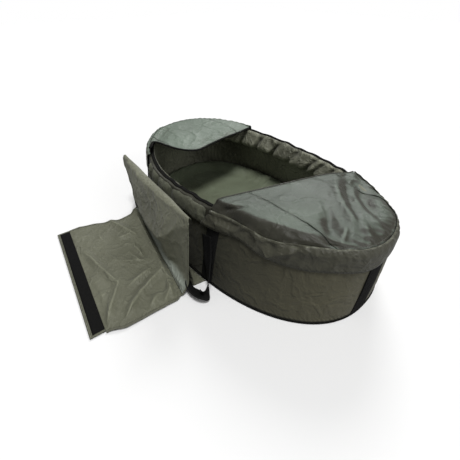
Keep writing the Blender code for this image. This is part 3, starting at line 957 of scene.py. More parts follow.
@dataclass
class Route:
    """A smooth line through points.

    Attributes:
        points: the points.
        faces: the way that a strap on the line faces at each of them.
    """

    points: Sequence[Vector]
    faces: Sequence[Vector]

    def at(self, share: float) -> tuple[Vector, Vector, Vector]:
        """Find a place on the route.

        Args:
            share: the share of the way along the route.

        Returns:
            The point, the way across the strap and the way that it faces.
        """
        count = len(self.points) - 1
        place = min(max(share, 0.0), 1.0) * count
        index = min(int(place), count - 1)
        part = place - index
        point = self._curve(self.points, index, part)
        step = 0.02
        along = self._curve(self.points, index, min(part + step, 1.0))
        along = along - self._curve(self.points, index, max(part - step, 0.0))
        along = along.normalized()
        face = mix(self.faces[index], self.faces[index + 1], part).normalized()
        side = face.cross(along).normalized()
        return point, side, along.cross(side).normalized()

    @staticmethod
    def _curve(points: Sequence[Vector], index: int, part: float) -> Vector:
        """Return a point on the smooth curve through the points.

        Args:
            points: the points.
            index: the point before it.
            part: the share of the way from there to the next.

        Returns:
            The point.
        """
        here, after = points[index], points[index + 1]
        before = points[index - 1] if index else here * 2 - after
        later = points[index + 2] if index + 2 < len(points) else after * 2 - here
        curve = here * 2 + (after - before) * part
        curve += (before * 2 - here * 5 + after * 4 - later) * part**2
        return (curve + (here * 3 - before - after * 3 + later) * part**3) / 2

    def strap(self, width: float, swell: float) -> Place:
        """Return the surface of a strap along the route.

        Args:
            width: the strap's width.
            swell: how far its middle stands proud of its edges.

        Returns:
            The surface, as a function of (u, v): u runs along the route.
        """

        def place(u: float, v: float) -> Vector:
            """Return the strap's point at (u, v)."""
            point, side, out = self.at(u)
            return point + side * (width * (v - 0.5)) + out * (swell * (1 - (2 * v - 1) ** 2))

        return place

    def cord(self, half_width: float, half_height: float) -> Place:
        """Return the surface of a rounded tape or cord along the route.

        Args:
            half_width: half its width.
            half_height: half its thickness.

        Returns:
            The surface, as a function of (u, v): u runs along the route.
        """

        def place(u: float, v: float) -> Vector:
            """Return the tape's point at (u, v).

            Args:
                u: the share of the way along the cloth.
                v: the share of the way across it.

            Returns:
                The point.
            """
            point, side, out = self.at(u)
            angle = 2 * math.pi * v
            return point + side * (half_width * math.cos(angle)) + out * (half_height * math.sin(angle))

        return place


@dataclass
class Tub:
    """The tub's outline and heights, as in the frame.

    A turn is the angle round the rim from the middle of its near end, anticlockwise from above.

    Attributes:
        base_length: the base's length.
        base_width: its width.
        rim_length: the rim's length.
        rim_width: its width.
        height: the rim's height.
        near_roundness: the power of the outline's near half.
        far_roundness: the power of its far half.
        skew: how far the outline leans in plan.
        gap: the gap at a sewn seam.
        piping: half the piping's thickness.
        floor: the height of the floor inside.
        middle: how far out of the wall's outer face its middle is, so it is below 0.
        inner_face: the same for the inner face.
        seam_top: the height of the seam under the binding.
        shoulder: the height at which the wall turns in.
        webbing_width: the width of the webbing sewn to the sides.
        near_webbing_x: X of its near strips.
        far_webbing_x: X of its far strips.
        nose_y: Y of the webbing at both ends.
        nose_width: the width of that webbing.
        webbing_top: how high the webbing goes on the sides.
        nose_top: how high it goes at the ends.
        pinch: how far the rim is drawn in at its near right.
        sag: how far it sags there and on the left.
        slimming: how much thinner the left wall is at its top.
        steps: the number of steps in which the rim is measured.
        runs: the distance along the rim at each of them.
    """

    base_length: float = 1.09
    base_width: float = 0.66
    rim_length: float = 1.12
    rim_width: float = 0.56
    height: float = 0.268
    near_roundness: float = 2.3
    far_roundness: float = 2.5
    skew: float = 0.09
    gap: float = 0.0004
    piping: float = 0.0033
    floor: float = 0.0254
    middle: float = -0.0146
    inner_face: float = -0.0303
    seam_top: float = 0.2644
    shoulder: float = 0.2514
    webbing_width: float = 0.050
    near_webbing_x: float = 0.150
    far_webbing_x: float = -0.435
    nose_y: float = -0.035
    nose_width: float = 0.055
    webbing_top: float = 0.205
    nose_top: float = 0.200
    pinch: float = 0.016
    sag: float = 0.014
    slimming: float = 0.0075
    steps: int = 720
    runs: list[float] = field(default_factory=list, init=False)

    def __post_init__(self) -> None:
        """Measure the rim from its near end all round."""
        before = self.point(0.0, self.height)
        self.runs = [0.0]
        for index in range(1, self.steps + 1):
            after = self.point(2 * math.pi * index / self.steps, self.height)
            self.runs.append(self.runs[-1] + (after - before).length)
            before = after

    def run(self, turn: float) -> float:
        """Return how far along the rim a turn lies.

        Args:
            turn: the turn.

        Returns:
            The distance from the first turn.
        """
        place = (turn / (2 * math.pi) % 1.0) * self.steps
        index = min(int(place), self.steps - 1)
        return mix(self.runs[index], self.runs[index + 1], place - index)

    def point(self, turn: float, height: float, outset: float = 0.0) -> Vector:
        """Return a point by the tub's outer face.

        Args:
            turn: where it lies round the tub.
            height: its height.
            outset: how far out of the face it lies.

        Returns:
            The point. Towards the rim, the face is drawn in or out where the photo shows it so.
        """
        share = height / self.height
        half_x = mix(self.base_length, self.rim_length, share) / 2
        half_y = mix(self.base_width, self.rim_width, share) / 2
        power = self.near_roundness if math.cos(turn) > 0 else self.far_roundness
        x_share = math.copysign(abs(math.cos(turn)) ** (2 / power), math.cos(turn))
        y_share = math.copysign(abs(math.sin(turn)) ** (2 / power), math.sin(turn))
        slope_x = math.copysign(abs(x_share) ** (power - 1) / half_x, x_share)
        slope_y = math.copysign(abs(y_share) ** (power - 1) / half_y, y_share)
        normal = Vector((slope_x, slope_y + self.skew * slope_x, 0)).normalized()
        bend = math.remainder(turn, 2 * math.pi)
        drawn = self.pinch * hump(bend, 0.55, 0.42) + 0.015 * hump(bend, -2.67, 0.34)
        drawn += 0.012 * hump(bend, -1.27, 0.17) - 0.010 * hump(bend, -1.85, 0.30)
        outset -= share**2 * drawn
        y = half_y * y_share
        return Vector((half_x * x_share - self.skew * y, y, height)) + outset * normal

    def inside(self, x: float, y: float, height: float | None = None) -> float:
        """Return how far inside the tub's outer face a point lies.

        Args:
            x: the point's X.
            y: the point's Y.
            height: the height of the face, or None for the rim's.

        Returns:
            The distance, below 0 outside.
        """
        height = self.height if height is None else height
        straight = x + self.skew * y
        power = self.near_roundness if straight > 0 else self.far_roundness
        half_x = mix(self.base_length, self.rim_length, height / self.height) / 2
        half_y = mix(self.base_width, self.rim_width, height / self.height) / 2
        x_share, y_share = abs(straight) / half_x, abs(y) / half_y
        share = (x_share**power + y_share**power) ** (1 / power)
        slope = Vector((x_share ** (power - 1) / half_x, y_share ** (power - 1) / half_y))
        return (1 - share) * share ** (power - 1) / slope.length

    def facing(self, turn: float) -> Vector:
        """Return the way that the wall faces at this turn."""
        return self.point(turn, self.height, 1.0) - self.point(turn, self.height)

    def turn_where(self, passed: Callable[[Vector], bool], low: float, high: float) -> float:
        """Return the turn between low and high at which passed(point of the rim) becomes true.

        Args:
            passed: the test.
            low: a turn at which it is false.
            high: a turn at which it is true.

        Returns:
            The turn.
        """
        for _step in range(40):
            middle = (low + high) / 2
            if passed(self.point(middle, self.height)):
                high = middle
            else:
                low = middle
        return middle

    def turn_at_x(self, x: float, side: Side) -> float:
        """Return the turn at which the rim passes x on that side."""
        return self.turn_where(lambda point: point.x < x, 0.0, side.value * math.pi)

    def turn_at_y(self, y: float, end: End) -> float:
        """Return the turn at which the rim passes y at that end.

        Args:
            y: the Y.
            end: the end.

        Returns:
            The turn.
        """
        if end is End.NEAR:
            return self.turn_where(lambda point: point.y > y, -math.pi / 2, math.pi / 2)
        return self.turn_where(lambda point: point.y < y, math.pi / 2, 3 * math.pi / 2)

    def slimmed(self, y: float, height: float) -> float:
        """Return how much thinner the padded wall is at its top, on the left."""
        return self.slimming * ease(height, 0.18, 0.245) * (1 - ease(y, -0.10, 0.05))

    def rim_wave(self, turn: float) -> float:
        """Return how far the soft rim stands over its level.

        Args:
            turn: where it is round the tub.

        Returns:
            The height. The rim ripples along its sides and sags where it is drawn in.
        """
        point = self.point(turn, self.height)
        between = ease(point.x, -0.30, -0.20) * (1 - ease(point.x, 0.10 + 0.15 * (point.y > 0), 0.26))
        bend = math.remainder(turn, 2 * math.pi)
        sagged = self.sag * (hump(bend, 0.72, 0.38) + hump(bend, -1.86, 0.36))
        return between * (0.0080 * ripple(point.x, point.y, 0.048, 3.1) - 0.002) - sagged

    def wall_relief(self, turn: float, height: float) -> float:
        """Return how far the outer wall's cloth stands off its plain outline.

        Args:
            turn: where it is round the tub.
            height: its height.

        Returns:
            The distance.
        """
        point = self.point(turn, height)
        share = height / self.height
        swell = 0.0022 * math.sin(math.pi * min(share, 1.0))
        swell += 0.0012 * ripple(turn * 0.5, height, 0.07, 1.7)
        slack = 0.0018 * hump(height, 0.075, 0.07) * ripple(turn * 0.8, height * 2.2, 0.045, 4.4)
        loose = max(0.0, min(1.0, self.from_webbing(point) / 0.03))
        return swell + slack * loose

    def from_webbing(self, point: Vector) -> float:
        """Return how far a point of the wall lies from the nearest webbing sewn to it.

        Args:
            point: the point.

        Returns:
            The distance.
        """
        sewn_at = (self.near_webbing_x, self.far_webbing_x)
        away = [abs(point.x - x) - self.webbing_width / 2 for x in sewn_at]
        if abs(point.x) > 0.4:
            away.append(abs(point.y - self.nose_y) - self.nose_width / 2)
        return max(0.0, min(away))


PUCKERS = (
    Crease((245, 128), (242, 150), -0.0080, 2.0),
    Crease((264, 131), (258, 148), -0.0240, 2.0),
    Crease((270, 139), (276, 150), -0.0140, 2.0),
    Crease((281, 140), (270, 160), -0.0240, 2.2),
    Crease((300, 150), (284, 166), -0.0160, 2.0),
    Crease((318, 158), (299, 176), -0.0230, 2.2),
    Crease((326, 163), (312, 173), -0.0180, 2.0),
    Crease((338, 167), (326, 177), -0.0140, 2.0),
    Crease((292, 143), (276, 153), 0.0060, 2.6),
    Crease((310, 154), (292, 160), 0.0060, 3.0),
    Crease((232, 132), (230, 150), -0.0050, 2.0),
)


@dataclass
class Shell:
    """The tub itself: walls, lining, mat, binding, piping and the webbing sewn to it.

    Attributes:
        tub: the tub's outline.
        finishes: the materials.
        around: the number of cells round the tub.
        wall_rise: the share of the wall's cloth that is below its turned edge.
        lining_rise: the same for the lining.
        cloth_gap: the least that the lining stands off its foam.
        mat_corners: the number of corners of the mat's bag.
        mat_inset: how far the mat's edge is from the lining.
        mat_level: how far over the floor the mat lies.
        mat_thickness: its thickness before it swells.
        mat_lift: how far its edge is turned up.
        mat_height: the height at which its edge follows the wall.
        loop_width: how wide the strip of loops is.
        loop_middle: X of its middle.
        loop_half: half its length.
        loop_drop: how far it is under the rim.
    """

    tub: Tub
    finishes: Looks
    around: int = 360
    wall_rise: float = 0.86
    lining_rise: float = 0.84
    cloth_gap: float = 0.0004
    mat_corners: int = 120
    mat_inset: float = 0.010
    mat_level: float = 0.0010
    mat_thickness: float = 0.0105
    mat_lift: float = 0.030
    mat_height: float = 0.03
    loop_width: float = 0.038
    loop_middle: float = -0.087
    loop_half: float = 0.21
    loop_drop: float = 0.018

    def build(self) -> None:
        """Make every piece of the tub."""
        self._foam()
        self._wall()
        self._lining()
        self._shoulder()
        self._edges()
        self._mat()
        self._webbing()

    def _foam(self) -> None:
        """Make the four foam boards in the walls, which follow the rim."""
        tub = self.tub
        outer, inner, low, top = -0.0020, -0.0280, 0.0010, 0.2622
        section = [(outer, low), (outer, top - 0.013), (outer - 0.0075, top - 0.0025)]
        section += [(inner + 0.0075, top - 0.0025), (inner, top - 0.013), (inner, low)]
        corners = len(section)
        spans = {"near": (-0.60, 0.60), "right": (0.60, 2.54), "far": (2.54, 3.74), "left": (3.74, 5.68)}

        def place(u: float, v: float, first: float, last: float) -> Vector:
            """Return a board's point.

            Args:
                u: the share of the way from its last turn to its first.
                v: the share of the way round it.
                first: its first turn.
                last: its last turn.

            Returns:
                The point.
            """
            turn = mix(last - 0.003, first + 0.003, u)
            index = min(int(v * corners), corners - 1)
            start, end = section[index], section[(index + 1) % corners]
            outset, height = (mix(start[axis], end[axis], v * corners - index) for axis in (0, 1))
            wave = tub.rim_wave(turn) * ease(height, tub.shoulder - 0.05, top)
            slim = tub.slimmed(tub.point(turn, height).y, height) if outset < tub.middle else 0.0
            return tub.point(turn, height + wave, outset + slim)

        for name, (first, last) in spans.items():
            board = Cloth(
                f"{name}_foam_board",
                (60, 12),
                lambda u, v: place(u, v, first, last),
                self.finishes["foam"],
                joined=Joined.ROD,
            )
            board.lay("tub", [f"{name}_foam"], "foam")

    def _shoulder(self) -> None:
        """Make the padded shoulder along the left wall's top: plump pads with pinched ends."""
        tub = self.tub
        first, last = (tub.turn_at_x(x, Side.LEFT) for x in (-0.300, 0.108))
        pinches = (-0.190, -0.085, -0.255)

        def place(u: float, v: float) -> Vector:
            """Return the pads' point.

            Args:
                u: the share of the way round the tub.
                v: the share of the way up the wall.

            Returns:
                The point.
            """
            turn = mix(first, last, u)
            x = tub.point(turn, tub.height).x
            pinch = max(hump(x, at, 0.016) for at in pinches)
            plump = (1 - 0.75 * pinch) * ease(u, 0.0, 0.05) * (1 - 0.8 * ease(u, 0.93, 1.0))
            angle = math.pi * v
            height = 0.229 - 0.030 * math.cos(angle) + tub.rim_wave(turn) * v - 0.004 * pinch * v
            return tub.point(turn, height, 0.0022 + 0.0120 * plump * math.sin(angle) ** 0.8 - 0.006 * v * v)

        def relief(_u: float, _v: float, point: Vector) -> float:
            """Return how far the pads' cloth stands off."""
            x, z = point.x, point.z
            return 0.0016 * ripple(x, z, 0.022, 9.0) + 0.0016 * crumple(x, z, 0.03, 7.0)

        cloth = Cloth("left_shoulder_cloth", (110, 16), place, self.finishes["pads"], relief, sewn="lrb")
        cloth.lay("tub", [], "olive_wall", "stretched", ["outer_wall_cloth"], cut=True)

    def _wall(self) -> None:
        """Make the outer wall, which turns in under the rim's binding."""
        tub = self.tub
        bottom = 2 * tub.piping + tub.gap
        turned, rise = tub.middle + 0.0048, self.wall_rise

        def place(u: float, v: float) -> Vector:
            """Return the wall's point.

            Args:
                u: the share of the way round the tub.
                v: the share of the way up from the piping.

            Returns:
                The point.
            """
            turn = 2 * math.pi * u
            if v < rise:
                return tub.point(turn, mix(bottom, tub.shoulder, v / rise))
            angle = (v - rise) / (1 - rise) * math.pi / 2
            wave = tub.rim_wave(turn) * math.sin(angle)
            height = mix(tub.shoulder, tub.seam_top, math.sin(angle)) + wave
            return tub.point(turn, height, turned * (1 - math.cos(angle)))

        def relief(u: float, v: float, _point: Vector) -> float:
            """Return how far the wall's cloth stands off."""
            height = mix(bottom, tub.shoulder, min(v / rise, 1.0))
            return tub.wall_relief(2 * math.pi * u, height) * ease(v, 0.0, 0.06) * (1 - ease(v, 0.88, 1.0))

        look = self.finishes["wall"]
        cloth = Cloth("outer_wall_cloth", (self.around, 44), place, look, relief, Joined.RING, "b")
        held_by = ["base_piping_cord", "rim_binding_tape"]
        cloth.lay("tub", ["outer_wall"], "olive_wall", "stretched", held_by)

    def _lining(self) -> None:
        """Make the gathered lining, from under the binding down to the floor."""
        tub = self.tub
        face, rise, gap = tub.inner_face - 0.0012, self.lining_rise, self.cloth_gap

        def pleats(point: Vector, turn: float, height: float) -> float:
            """Return how far the gathers and puckers lift the cloth.

            Args:
                point: the cloth's point.
                turn: where it is round the tub.
                height: its height.

            Returns:
                The lift.
            """
            along = tub.run(turn)
            slant = (0.262 - height) * (0.25 + 0.9 * ripple(along, 0.0, 0.16, 8.0))
            spot = (along + slant) / 0.088 + 0.35 * ripple(along, 0.0, 0.12, 2.0)
            deep = max(0.0, math.cos(2 * math.pi * spot)) ** 7
            small = max(0.0, math.cos(2 * math.pi * (along - slant * 1.6) / 0.031)) ** 3
            band = hump(height, 0.240, 0.026)
            shown = ease(point.y, 0.0, 0.10)
            roll = 0.034 * shown * ease(0.270 - height, 0.0, 0.050) * ease(height, 0.178, 0.216)
            fine = 1 - abs(math.sin(along / 0.0085 + 3 * ripple(along, height, 0.10, 5.0)))
            varied = 0.6 + 0.6 * ripple(along, height, 0.12, 6.0)
            low = 0.0034 * fine * (1 - ease(height, 0.17, 0.235)) * varied
            gathered = band * (0.0085 * deep + 0.0030 * small) * (1 - 0.85 * shown)
            return max(creased(PUCKERS, point) + roll, -gap) - gathered + low

        def place(u: float, v: float) -> Vector:
            """Return the lining's point.

            Args:
                u: the share of the way round the tub.
                v: the share of the way up from the floor.

            Returns:
                The point.
            """
            turn = -2 * math.pi * u
            y = tub.point(turn, tub.height).y
            if v < rise:
                height = mix(tub.floor, tub.shoulder, v / rise)
                return tub.point(turn, height, face + tub.slimmed(y, height))
            angle = (v - rise) / (1 - rise) * math.pi / 2
            share = math.sin(angle)
            height = mix(tub.shoulder, tub.seam_top + gap, share) + tub.rim_wave(turn) * share
            top = face + tub.slimmed(y, tub.shoulder)
            return tub.point(turn, height, mix(top, tub.middle - 0.0048, 1 - math.cos(angle)))

        def relief(u: float, v: float, point: Vector) -> float:
            """Return how far the lining's cloth stands off."""
            return max(pleats(point, -2 * math.pi * u, point.z) * (1 - ease(v, 0.92, 1.0)), -gap) + gap

        cloth = Cloth("lining_cloth", (840, 48), place, self.finishes["lining"], relief, Joined.RING, "t")
        held_by = ["rim_binding_tape", "floor_mat_pad"]
        cloth.lay("tub", ["lining"], "lining_cloth", "gathered", held_by)

    def _edges(self) -> None:
        """Make the binding over the rim and the piping round the base."""
        tub = self.tub

        def binding(u: float, v: float) -> Vector:
            """Return the binding's point.

            Args:
                u: the share of the way round the tub.
                v: the share of the way over the rim.

            Returns:
                The point.
            """
            turn, angle = 2 * math.pi * u, 2 * math.pi * v
            across = math.copysign(abs(math.cos(angle)) ** 0.7, math.cos(angle))
            height = tub.height - 0.0022 + tub.rim_wave(turn) + 0.0029 * math.sin(angle)
            return tub.point(turn, height, tub.middle + 0.0066 * across)

        def piping(u: float, v: float) -> Vector:
            """Return the piping's point.

            Args:
                u: the share of the way round the tub.
                v: the share of the way round the piping.

            Returns:
                The point.
            """
            turn, angle = 2 * math.pi * u, 2 * math.pi * v
            across, height = tub.piping * math.cos(angle), tub.piping * (1 + math.sin(angle))
            return tub.point(turn, height + tub.gap / 2, across)

        for name, node, surface in (
            ("rim_binding_tape", "rim_binding", binding),
            ("base_piping_cord", "base_piping", piping),
        ):
            look = self.finishes["binding"]
            cloth = Cloth(name, (self.around, 12), surface, look, joined=Joined.TUBE)
            cloth.lay("tub", [node], "black_trim")

    def _mat(self) -> None:
        """Make the padded mat: a flat bag of cloth, swollen by a simulation, then creased."""
        tub = self.tub
        low = tub.floor + self.mat_level
        bag = bmesh.new()
        made = bmesh.ops.create_circle(bag, cap_ends=True, segments=self.mat_corners, radius=1.0)
        for index, vert in enumerate(made["verts"]):
            turn = 2 * math.pi * index / self.mat_corners
            spot = tub.point(turn, self.mat_height, tub.inner_face - self.mat_inset)
            vert.co = Vector((spot.x, spot.y, low))
        raised = bmesh.ops.extrude_face_region(bag, geom=list(bag.faces))
        lifted = [item for item in raised["geom"] if isinstance(item, bmesh.types.BMVert)]
        bmesh.ops.translate(bag, verts=lifted, vec=UP * self.mat_thickness)
        bmesh.ops.recalc_face_normals(bag, faces=bag.faces)
        mesh = bpy.data.meshes.new("floor_mat_pad")
        bag.to_mesh(mesh)
        bag.free()
        pad = bpy.data.objects.new("floor_mat_pad", mesh)
        bpy.context.scene.collection.objects.link(pad)
        swell(pad, voxel=0.009, cap=0.006)
        self._crease_mat(pad, low)
        pad.data.materials.clear()
        pad.data.materials.append(self.finishes["mat"])
        pad.data.shade_smooth()
        dress(pad, "tub", ["floor_mat"])

    def _crease_mat(self, pad: bpy.types.Object, low: float) -> None:
        """Turn the mat's edge up, crease its top and lay its under side flat.

        Args:
            pad: the mat.
            low: the height of its under side.
        """
        tub, shape = self.tub, bmesh.new()
        shape.from_mesh(pad.data)
        cloth_map = shape.loops.layers.uv.new("cloth")
        seam = shape.verts.layers.float.new("seam")
        for vert in shape.verts:
            vert.co.z = max(vert.co.z, low)
            top = ease(vert.co.z, low + 0.006, low + 0.012)
            x, y = vert.co.x, vert.co.y
            turned_up = self.mat_lift * (1 - ease(tub.inside(x, y, self.mat_height), 0.045, 0.130))
            hollow = ripple(x, y, 0.16, 6.0) * 0.0030 + ripple(x, y, 0.06, 7.0) * 0.0012
            sharp = crumple(x * 1.4, y, 0.11, 2.5) * 0.0022
            vert.co.z += top * (hollow + sharp + 0.0015) + turned_up
            vert[seam] = 1.0
        for face in shape.faces:
            for loop in face.loops:
                loop[cloth_map].uv = loop.vert.co.xy
        shape.to_mesh(pad.data)
        shape.free()

    def _webbing(self) -> None:
        """Make the webbing sewn up the wall and the strip of loops."""
        tub = self.tub
        bottom = 2 * tub.piping + tub.gap

        def strip(name: str, node: str, ends: Pair, top: float) -> None:
            """Sew one strip to the wall.

            Args:
                name: the piece's name.
                node: the frame's node for it.
                ends: the turns of its two edges.
                top: the height of its end. It starts at the piping.
            """

            def place(u: float, v: float) -> Vector:
                """Return the strip's point.

                Args:
                    u: the share of the way up.
                    v: the share of the way across it.

                Returns:
                    The point.
                """
                height, turn = mix(bottom, top, u), mix(*ends, 1 - v)
                out = tub.wall_relief(turn, height) * ease(height, bottom, bottom + 0.016)
                return tub.point(turn, height, out + 0.0028)

            cloth = Cloth(name, (48, 10), place, self.finishes["webbing"], thickness=0.0018)
            cloth.lay("tub", [node], "black_trim")

        half = tub.webbing_width / 2
        for side in Side:
            for end, x in ((End.NEAR, tub.near_webbing_x), (End.FAR, tub.far_webbing_x)):
                node = f"{side.name.lower()}_{end.word}_webbing"
                turns = sorted(tub.turn_at_x(x + offset, side) for offset in (-half, half))
                strip(f"{node}_tape", node, tuple(turns), tub.webbing_top)
        half = tub.nose_width / 2
        for end in End:
            turns = sorted(tub.turn_at_y(tub.nose_y + offset, end) for offset in (-half, half))
            strip(f"{end.word}_nose_tape", f"{end.word}_nose_webbing", tuple(turns), tub.nose_top)
        self._loops()

    def _loops(self) -> None:
        """Make the strip of loops on the right wall, which the flap's hooks close on."""
        tub = self.tub
        top, middle, half = tub.height - self.loop_drop, self.loop_middle, self.loop_half
        turns = (tub.turn_at_x(middle + half, Side.RIGHT), tub.turn_at_x(middle - half, Side.RIGHT))

        def place(u: float, v: float) -> Vector:
            """Return the strip's point at (u, v)."""
            turn, height = mix(*turns, u), mix(top - self.loop_width, top, v)
            return tub.point(turn, height, tub.wall_relief(turn, height) + 0.0022)

        strip = Cloth("loop_strip_tape", (90, 6), place, self.finishes["loops"], thickness=0.0013)
        strip.lay("tub", ["loop_strip"], "black_trim")


def swell(pad: bpy.types.Object, voxel: float, cap: float) -> None:
    """Swell a closed pad by a cloth simulation under pressure.

    Args:
        pad: the pad, a slack closed bag.
        voxel: the size of the cells that it is meshed in again.
        cap: how far a point may move.
    """
    bpy.context.view_layer.objects.active = pad
    for thing in bpy.context.selected_objects:
        thing.select_set(False)
    pad.select_set(True)
    remesh = pad.modifiers.new("remesh", "REMESH")
    remesh.mode = "VOXEL"
    remesh.voxel_size = voxel
    bpy.ops.object.modifier_apply(modifier=remesh.name)
    rest = [vert.co.copy() for vert in pad.data.vertices]
    cloth = pad.modifiers.new("swell", "CLOTH")
    cloth.settings.use_pressure = True
    cloth.settings.uniform_pressure_force = 4.0
    cloth.settings.effector_weights.gravity = 0.0
    cloth.point_cache.frame_end = 20
    for frame in range(1, 21):
        bpy.context.scene.frame_set(frame)
    bpy.ops.object.modifier_apply(modifier=cloth.name)
    bpy.context.scene.frame_set(1)
    for vert, start in zip(pad.data.vertices, rest):
        move = vert.co - start
        if move.length > cap:
            vert.co = start + move * (cap / move.length)


CAP_FOLDS = {
    End.NEAR: (
        Crease((222, 211), (246, 206), -0.0070, 2.4),
        Crease((226, 222), (246, 232), -0.0090, 4.0),
        Crease((233, 232), (247, 227), 0.0070, 2.6, True),
        Crease((247, 227), (263, 240), 0.0080, 2.6, True),
        Crease((206, 214), (226, 232), 0.0045, 3.0, True),
        Crease((268, 238), (274, 252), -0.0070, 3.5),
        Crease((278, 243), (304, 248), -0.0080, 4.0),
        Crease((262, 257), (314, 248), 0.0100, 4.0, True),
        Crease((262, 246), (268, 257), 0.0050, 3.0, True),
        Crease((324, 240), (336, 247), -0.0060, 3.5),
        Crease((250, 214), (316, 237), 0.0030, 4.0),
        Crease((346, 176), (352, 202), -0.0180, 6.0),
        Crease((334, 184), (342, 202), 0.0060, 5.0),
        Crease((326, 206), (334, 238), -0.0110, 7.0),
        Crease((344, 206), (374, 242), 0.0120, 5.5),
        Crease((356, 184), (378, 214), -0.0200, 5.5),
        Crease((352, 208), (362, 226), -0.0090, 4.0),
        Crease((368, 214), (390, 240), 0.0070, 5.0),
        Crease((356, 222), (366, 240), -0.0050, 4.0),
        Crease((342, 242), (347, 226), 0.0050, 4.0),
        Crease((370, 196), (388, 206), 0.0060, 5.0),
        Crease((256, 203), (290, 213), -0.0025, 8.0),
        Crease((300, 196), (318, 186), -0.0030, 7.0),
    ),
    End.FAR: (
        Crease((152, 148), (166, 127), -0.0085, 7.0),
        Crease((172, 146), (195, 120), -0.0030, 12.0),
        Crease((212, 141), (236, 124), 0.0045, 8.0),
        Crease((205, 144), (224, 128), -0.0030, 6.0),
    ),
}


@dataclass
class Cap:
    """One fitted end cap: three crown panels, a gathered skirt, its elastic hem and its front hem.

    Attributes:
        tub: the tub's outline.
        finishes: the materials.
        end: the end of the tub that it covers.
        front: X of the cap's front corners, left then right.
        bulge: how far the middle of the front edge reaches over the tub.
        crown: the crown's height over the rim.
        inset: how far the seam of the crown and skirt lies inside the rim's outer face.
        gusset_y: the distance of the crown's two seams from the middle.
        front_share: how high the far cap's front is, as a share of its crown.
        outset: how far the skirt hangs off the wall.
        skirt_depth: the skirt's depth.
        skirt_rise: the share of the skirt below the rim.
        trim: how far, in turn, the pieces end before the cap's corners.
    """

    tub: Tub
    finishes: Looks
    end: End
    front: tuple[float, float]
    bulge: float
    crown: float
    inset: float
    gusset_y: float = 0.16
    front_share: float = 0.45
    outset: float = 0.0075
    skirt_depth: float = 0.062
    skirt_rise: float = 0.70
    trim: float = 0.026

    def __post_init__(self) -> None:
        """Work out the cap's ends on the rim."""
        tub = self.tub
        left, right = (tub.turn_at_x(x, side) for x, side in zip(self.front, (Side.LEFT, Side.RIGHT)))
        self.near = self.end is End.NEAR
        self.start, self.finish = (left, right) if self.near else (right, left + 2 * math.pi)
        self.corners = [tub.point(turn, tub.height) for turn in (self.start, self.finish)]
        self.level = tub.height + tub.gap + 0.0018
        self.middle_y = (self.corners[0].y + self.corners[1].y) / 2
        self.half_width = abs(self.corners[1].y - self.corners[0].y) / 2
        self.bottom = self.level - 0.007 - self.skirt_depth
        self.ends = (self.start + self.trim, self.finish - self.trim)
        self.body = f"{self.end.word}_cap"

    def front_x(self, y: float) -> float:
        """Return X of the front edge at this Y.

        Args:
            y: the Y.

        Returns:
            The X.
        """
        across = (y - self.corners[0].y) / (self.corners[1].y - self.corners[0].y)
        edge = mix(self.corners[0].x, self.corners[1].x, across)
        if not self.near:
            edge += 0.030 * hump(y, -0.085, 0.055) - 0.072 * hump(y, -0.190, 0.036)
        return edge + self.bulge * (1 - ((y - self.middle_y) / self.half_width) ** 2)

    def seam(self, turn: float) -> Vector:
        """Return a point of the seam that joins the crown to the skirt.

        Args:
            turn: where it lies round the tub.

        Returns:
            The point. The near cap's seam sags and is drawn in as in the photo.
        """
        bend = math.remainder(turn, 2 * math.pi)
        inset, rise = self.inset, 0.0048
        if self.near:
            inset = mix(-0.004, mix(self.inset, -0.003, ease(bend, 0.10, 0.45)), ease(bend, -1.05, -0.70))
            rise = 0.007 * hump(bend, -0.48, 0.30) - 0.011 * (1 - ease(bend, -1.05, -0.72)) + 0.001
            rise += 0.006 * ease(bend, 0.20, 0.50)
            rise += 0.0030 * ripple(turn * 0.5, 0.0, 0.05, 14.0)
        point = self.tub.point(turn, self.tub.height, -inset)
        return Vector((point.x, point.y, self.level + rise + self.tub.rim_wave(turn)))

    def crown_point(self, turn: float, v: float) -> Vector:
        """Return a point of the crown.

        Args:
            turn: where the point's line meets the seam with the skirt.
            v: the share of the way along that line, from the front edge to the seam.

        Returns:
            The point.
        """
        seam = self.seam(turn)
        x = mix(self.front_x(seam.y), seam.x, v)
        if self.near:
            steep = mix(0.060, 0.011, ease(-seam.y, 0.10, 0.185))
            edge = self.tub.inside(seam.x, seam.y)
            deep = max(self.tub.inside(x, seam.y) - edge, 0.0)
            front = mix(0.62, 1.0, ease(v, 0.0, 0.35))
            height = mix(seam.z, self.level + self.crown * front, 1 - math.exp(-((deep / steep) ** 1.2)))
            return Vector((x, seam.y, height + self.lift(seam.y, v)))
        across = 1 - min(abs(seam.y - self.middle_y) / self.half_width, 1.0) ** 2.2
        high = self.front_share + (1 - self.front_share) * math.sin(math.pi * v**0.8)
        height = self.level + self.crown * across * high * (1 - v**6) + (seam.z - self.level) * v**2
        return Vector((x, seam.y, height + self.lift(seam.y, v)))

    def lift(self, y: float, v: float) -> float:
        """Return how far the crown is lifted or sags by its front edge.

        Args:
            y: Y across the crown.
            v: the share of the way from the front edge to the rim.

        Returns:
            The lift, by this cap's own way of lying.
        """
        if self.near:
            return -0.010 * hump(y, 0.18, 0.07) * hump(v, 0.65, 0.35)
        raised = 0.021 * hump(y, -0.215, 0.050) * (1 - ease(v, 0.1, 0.75))
        return raised - 0.011 * hump(y, -0.03, 0.08) * (1 - ease(v, 0.0, 0.45))

    def hem_height(self, turn: float) -> float:
        """Return the height of the skirt's hem at this turn.

        Args:
            turn: where it is round the tub.

        Returns:
            The height.
        """
        bend = math.remainder(turn, 2 * math.pi)
        raised = 0.015 * hump(bend, -1.20, 0.11) + 0.009 * hump(bend, -0.50, 0.20)
        return self.bottom + (raised if self.near else 0.0)

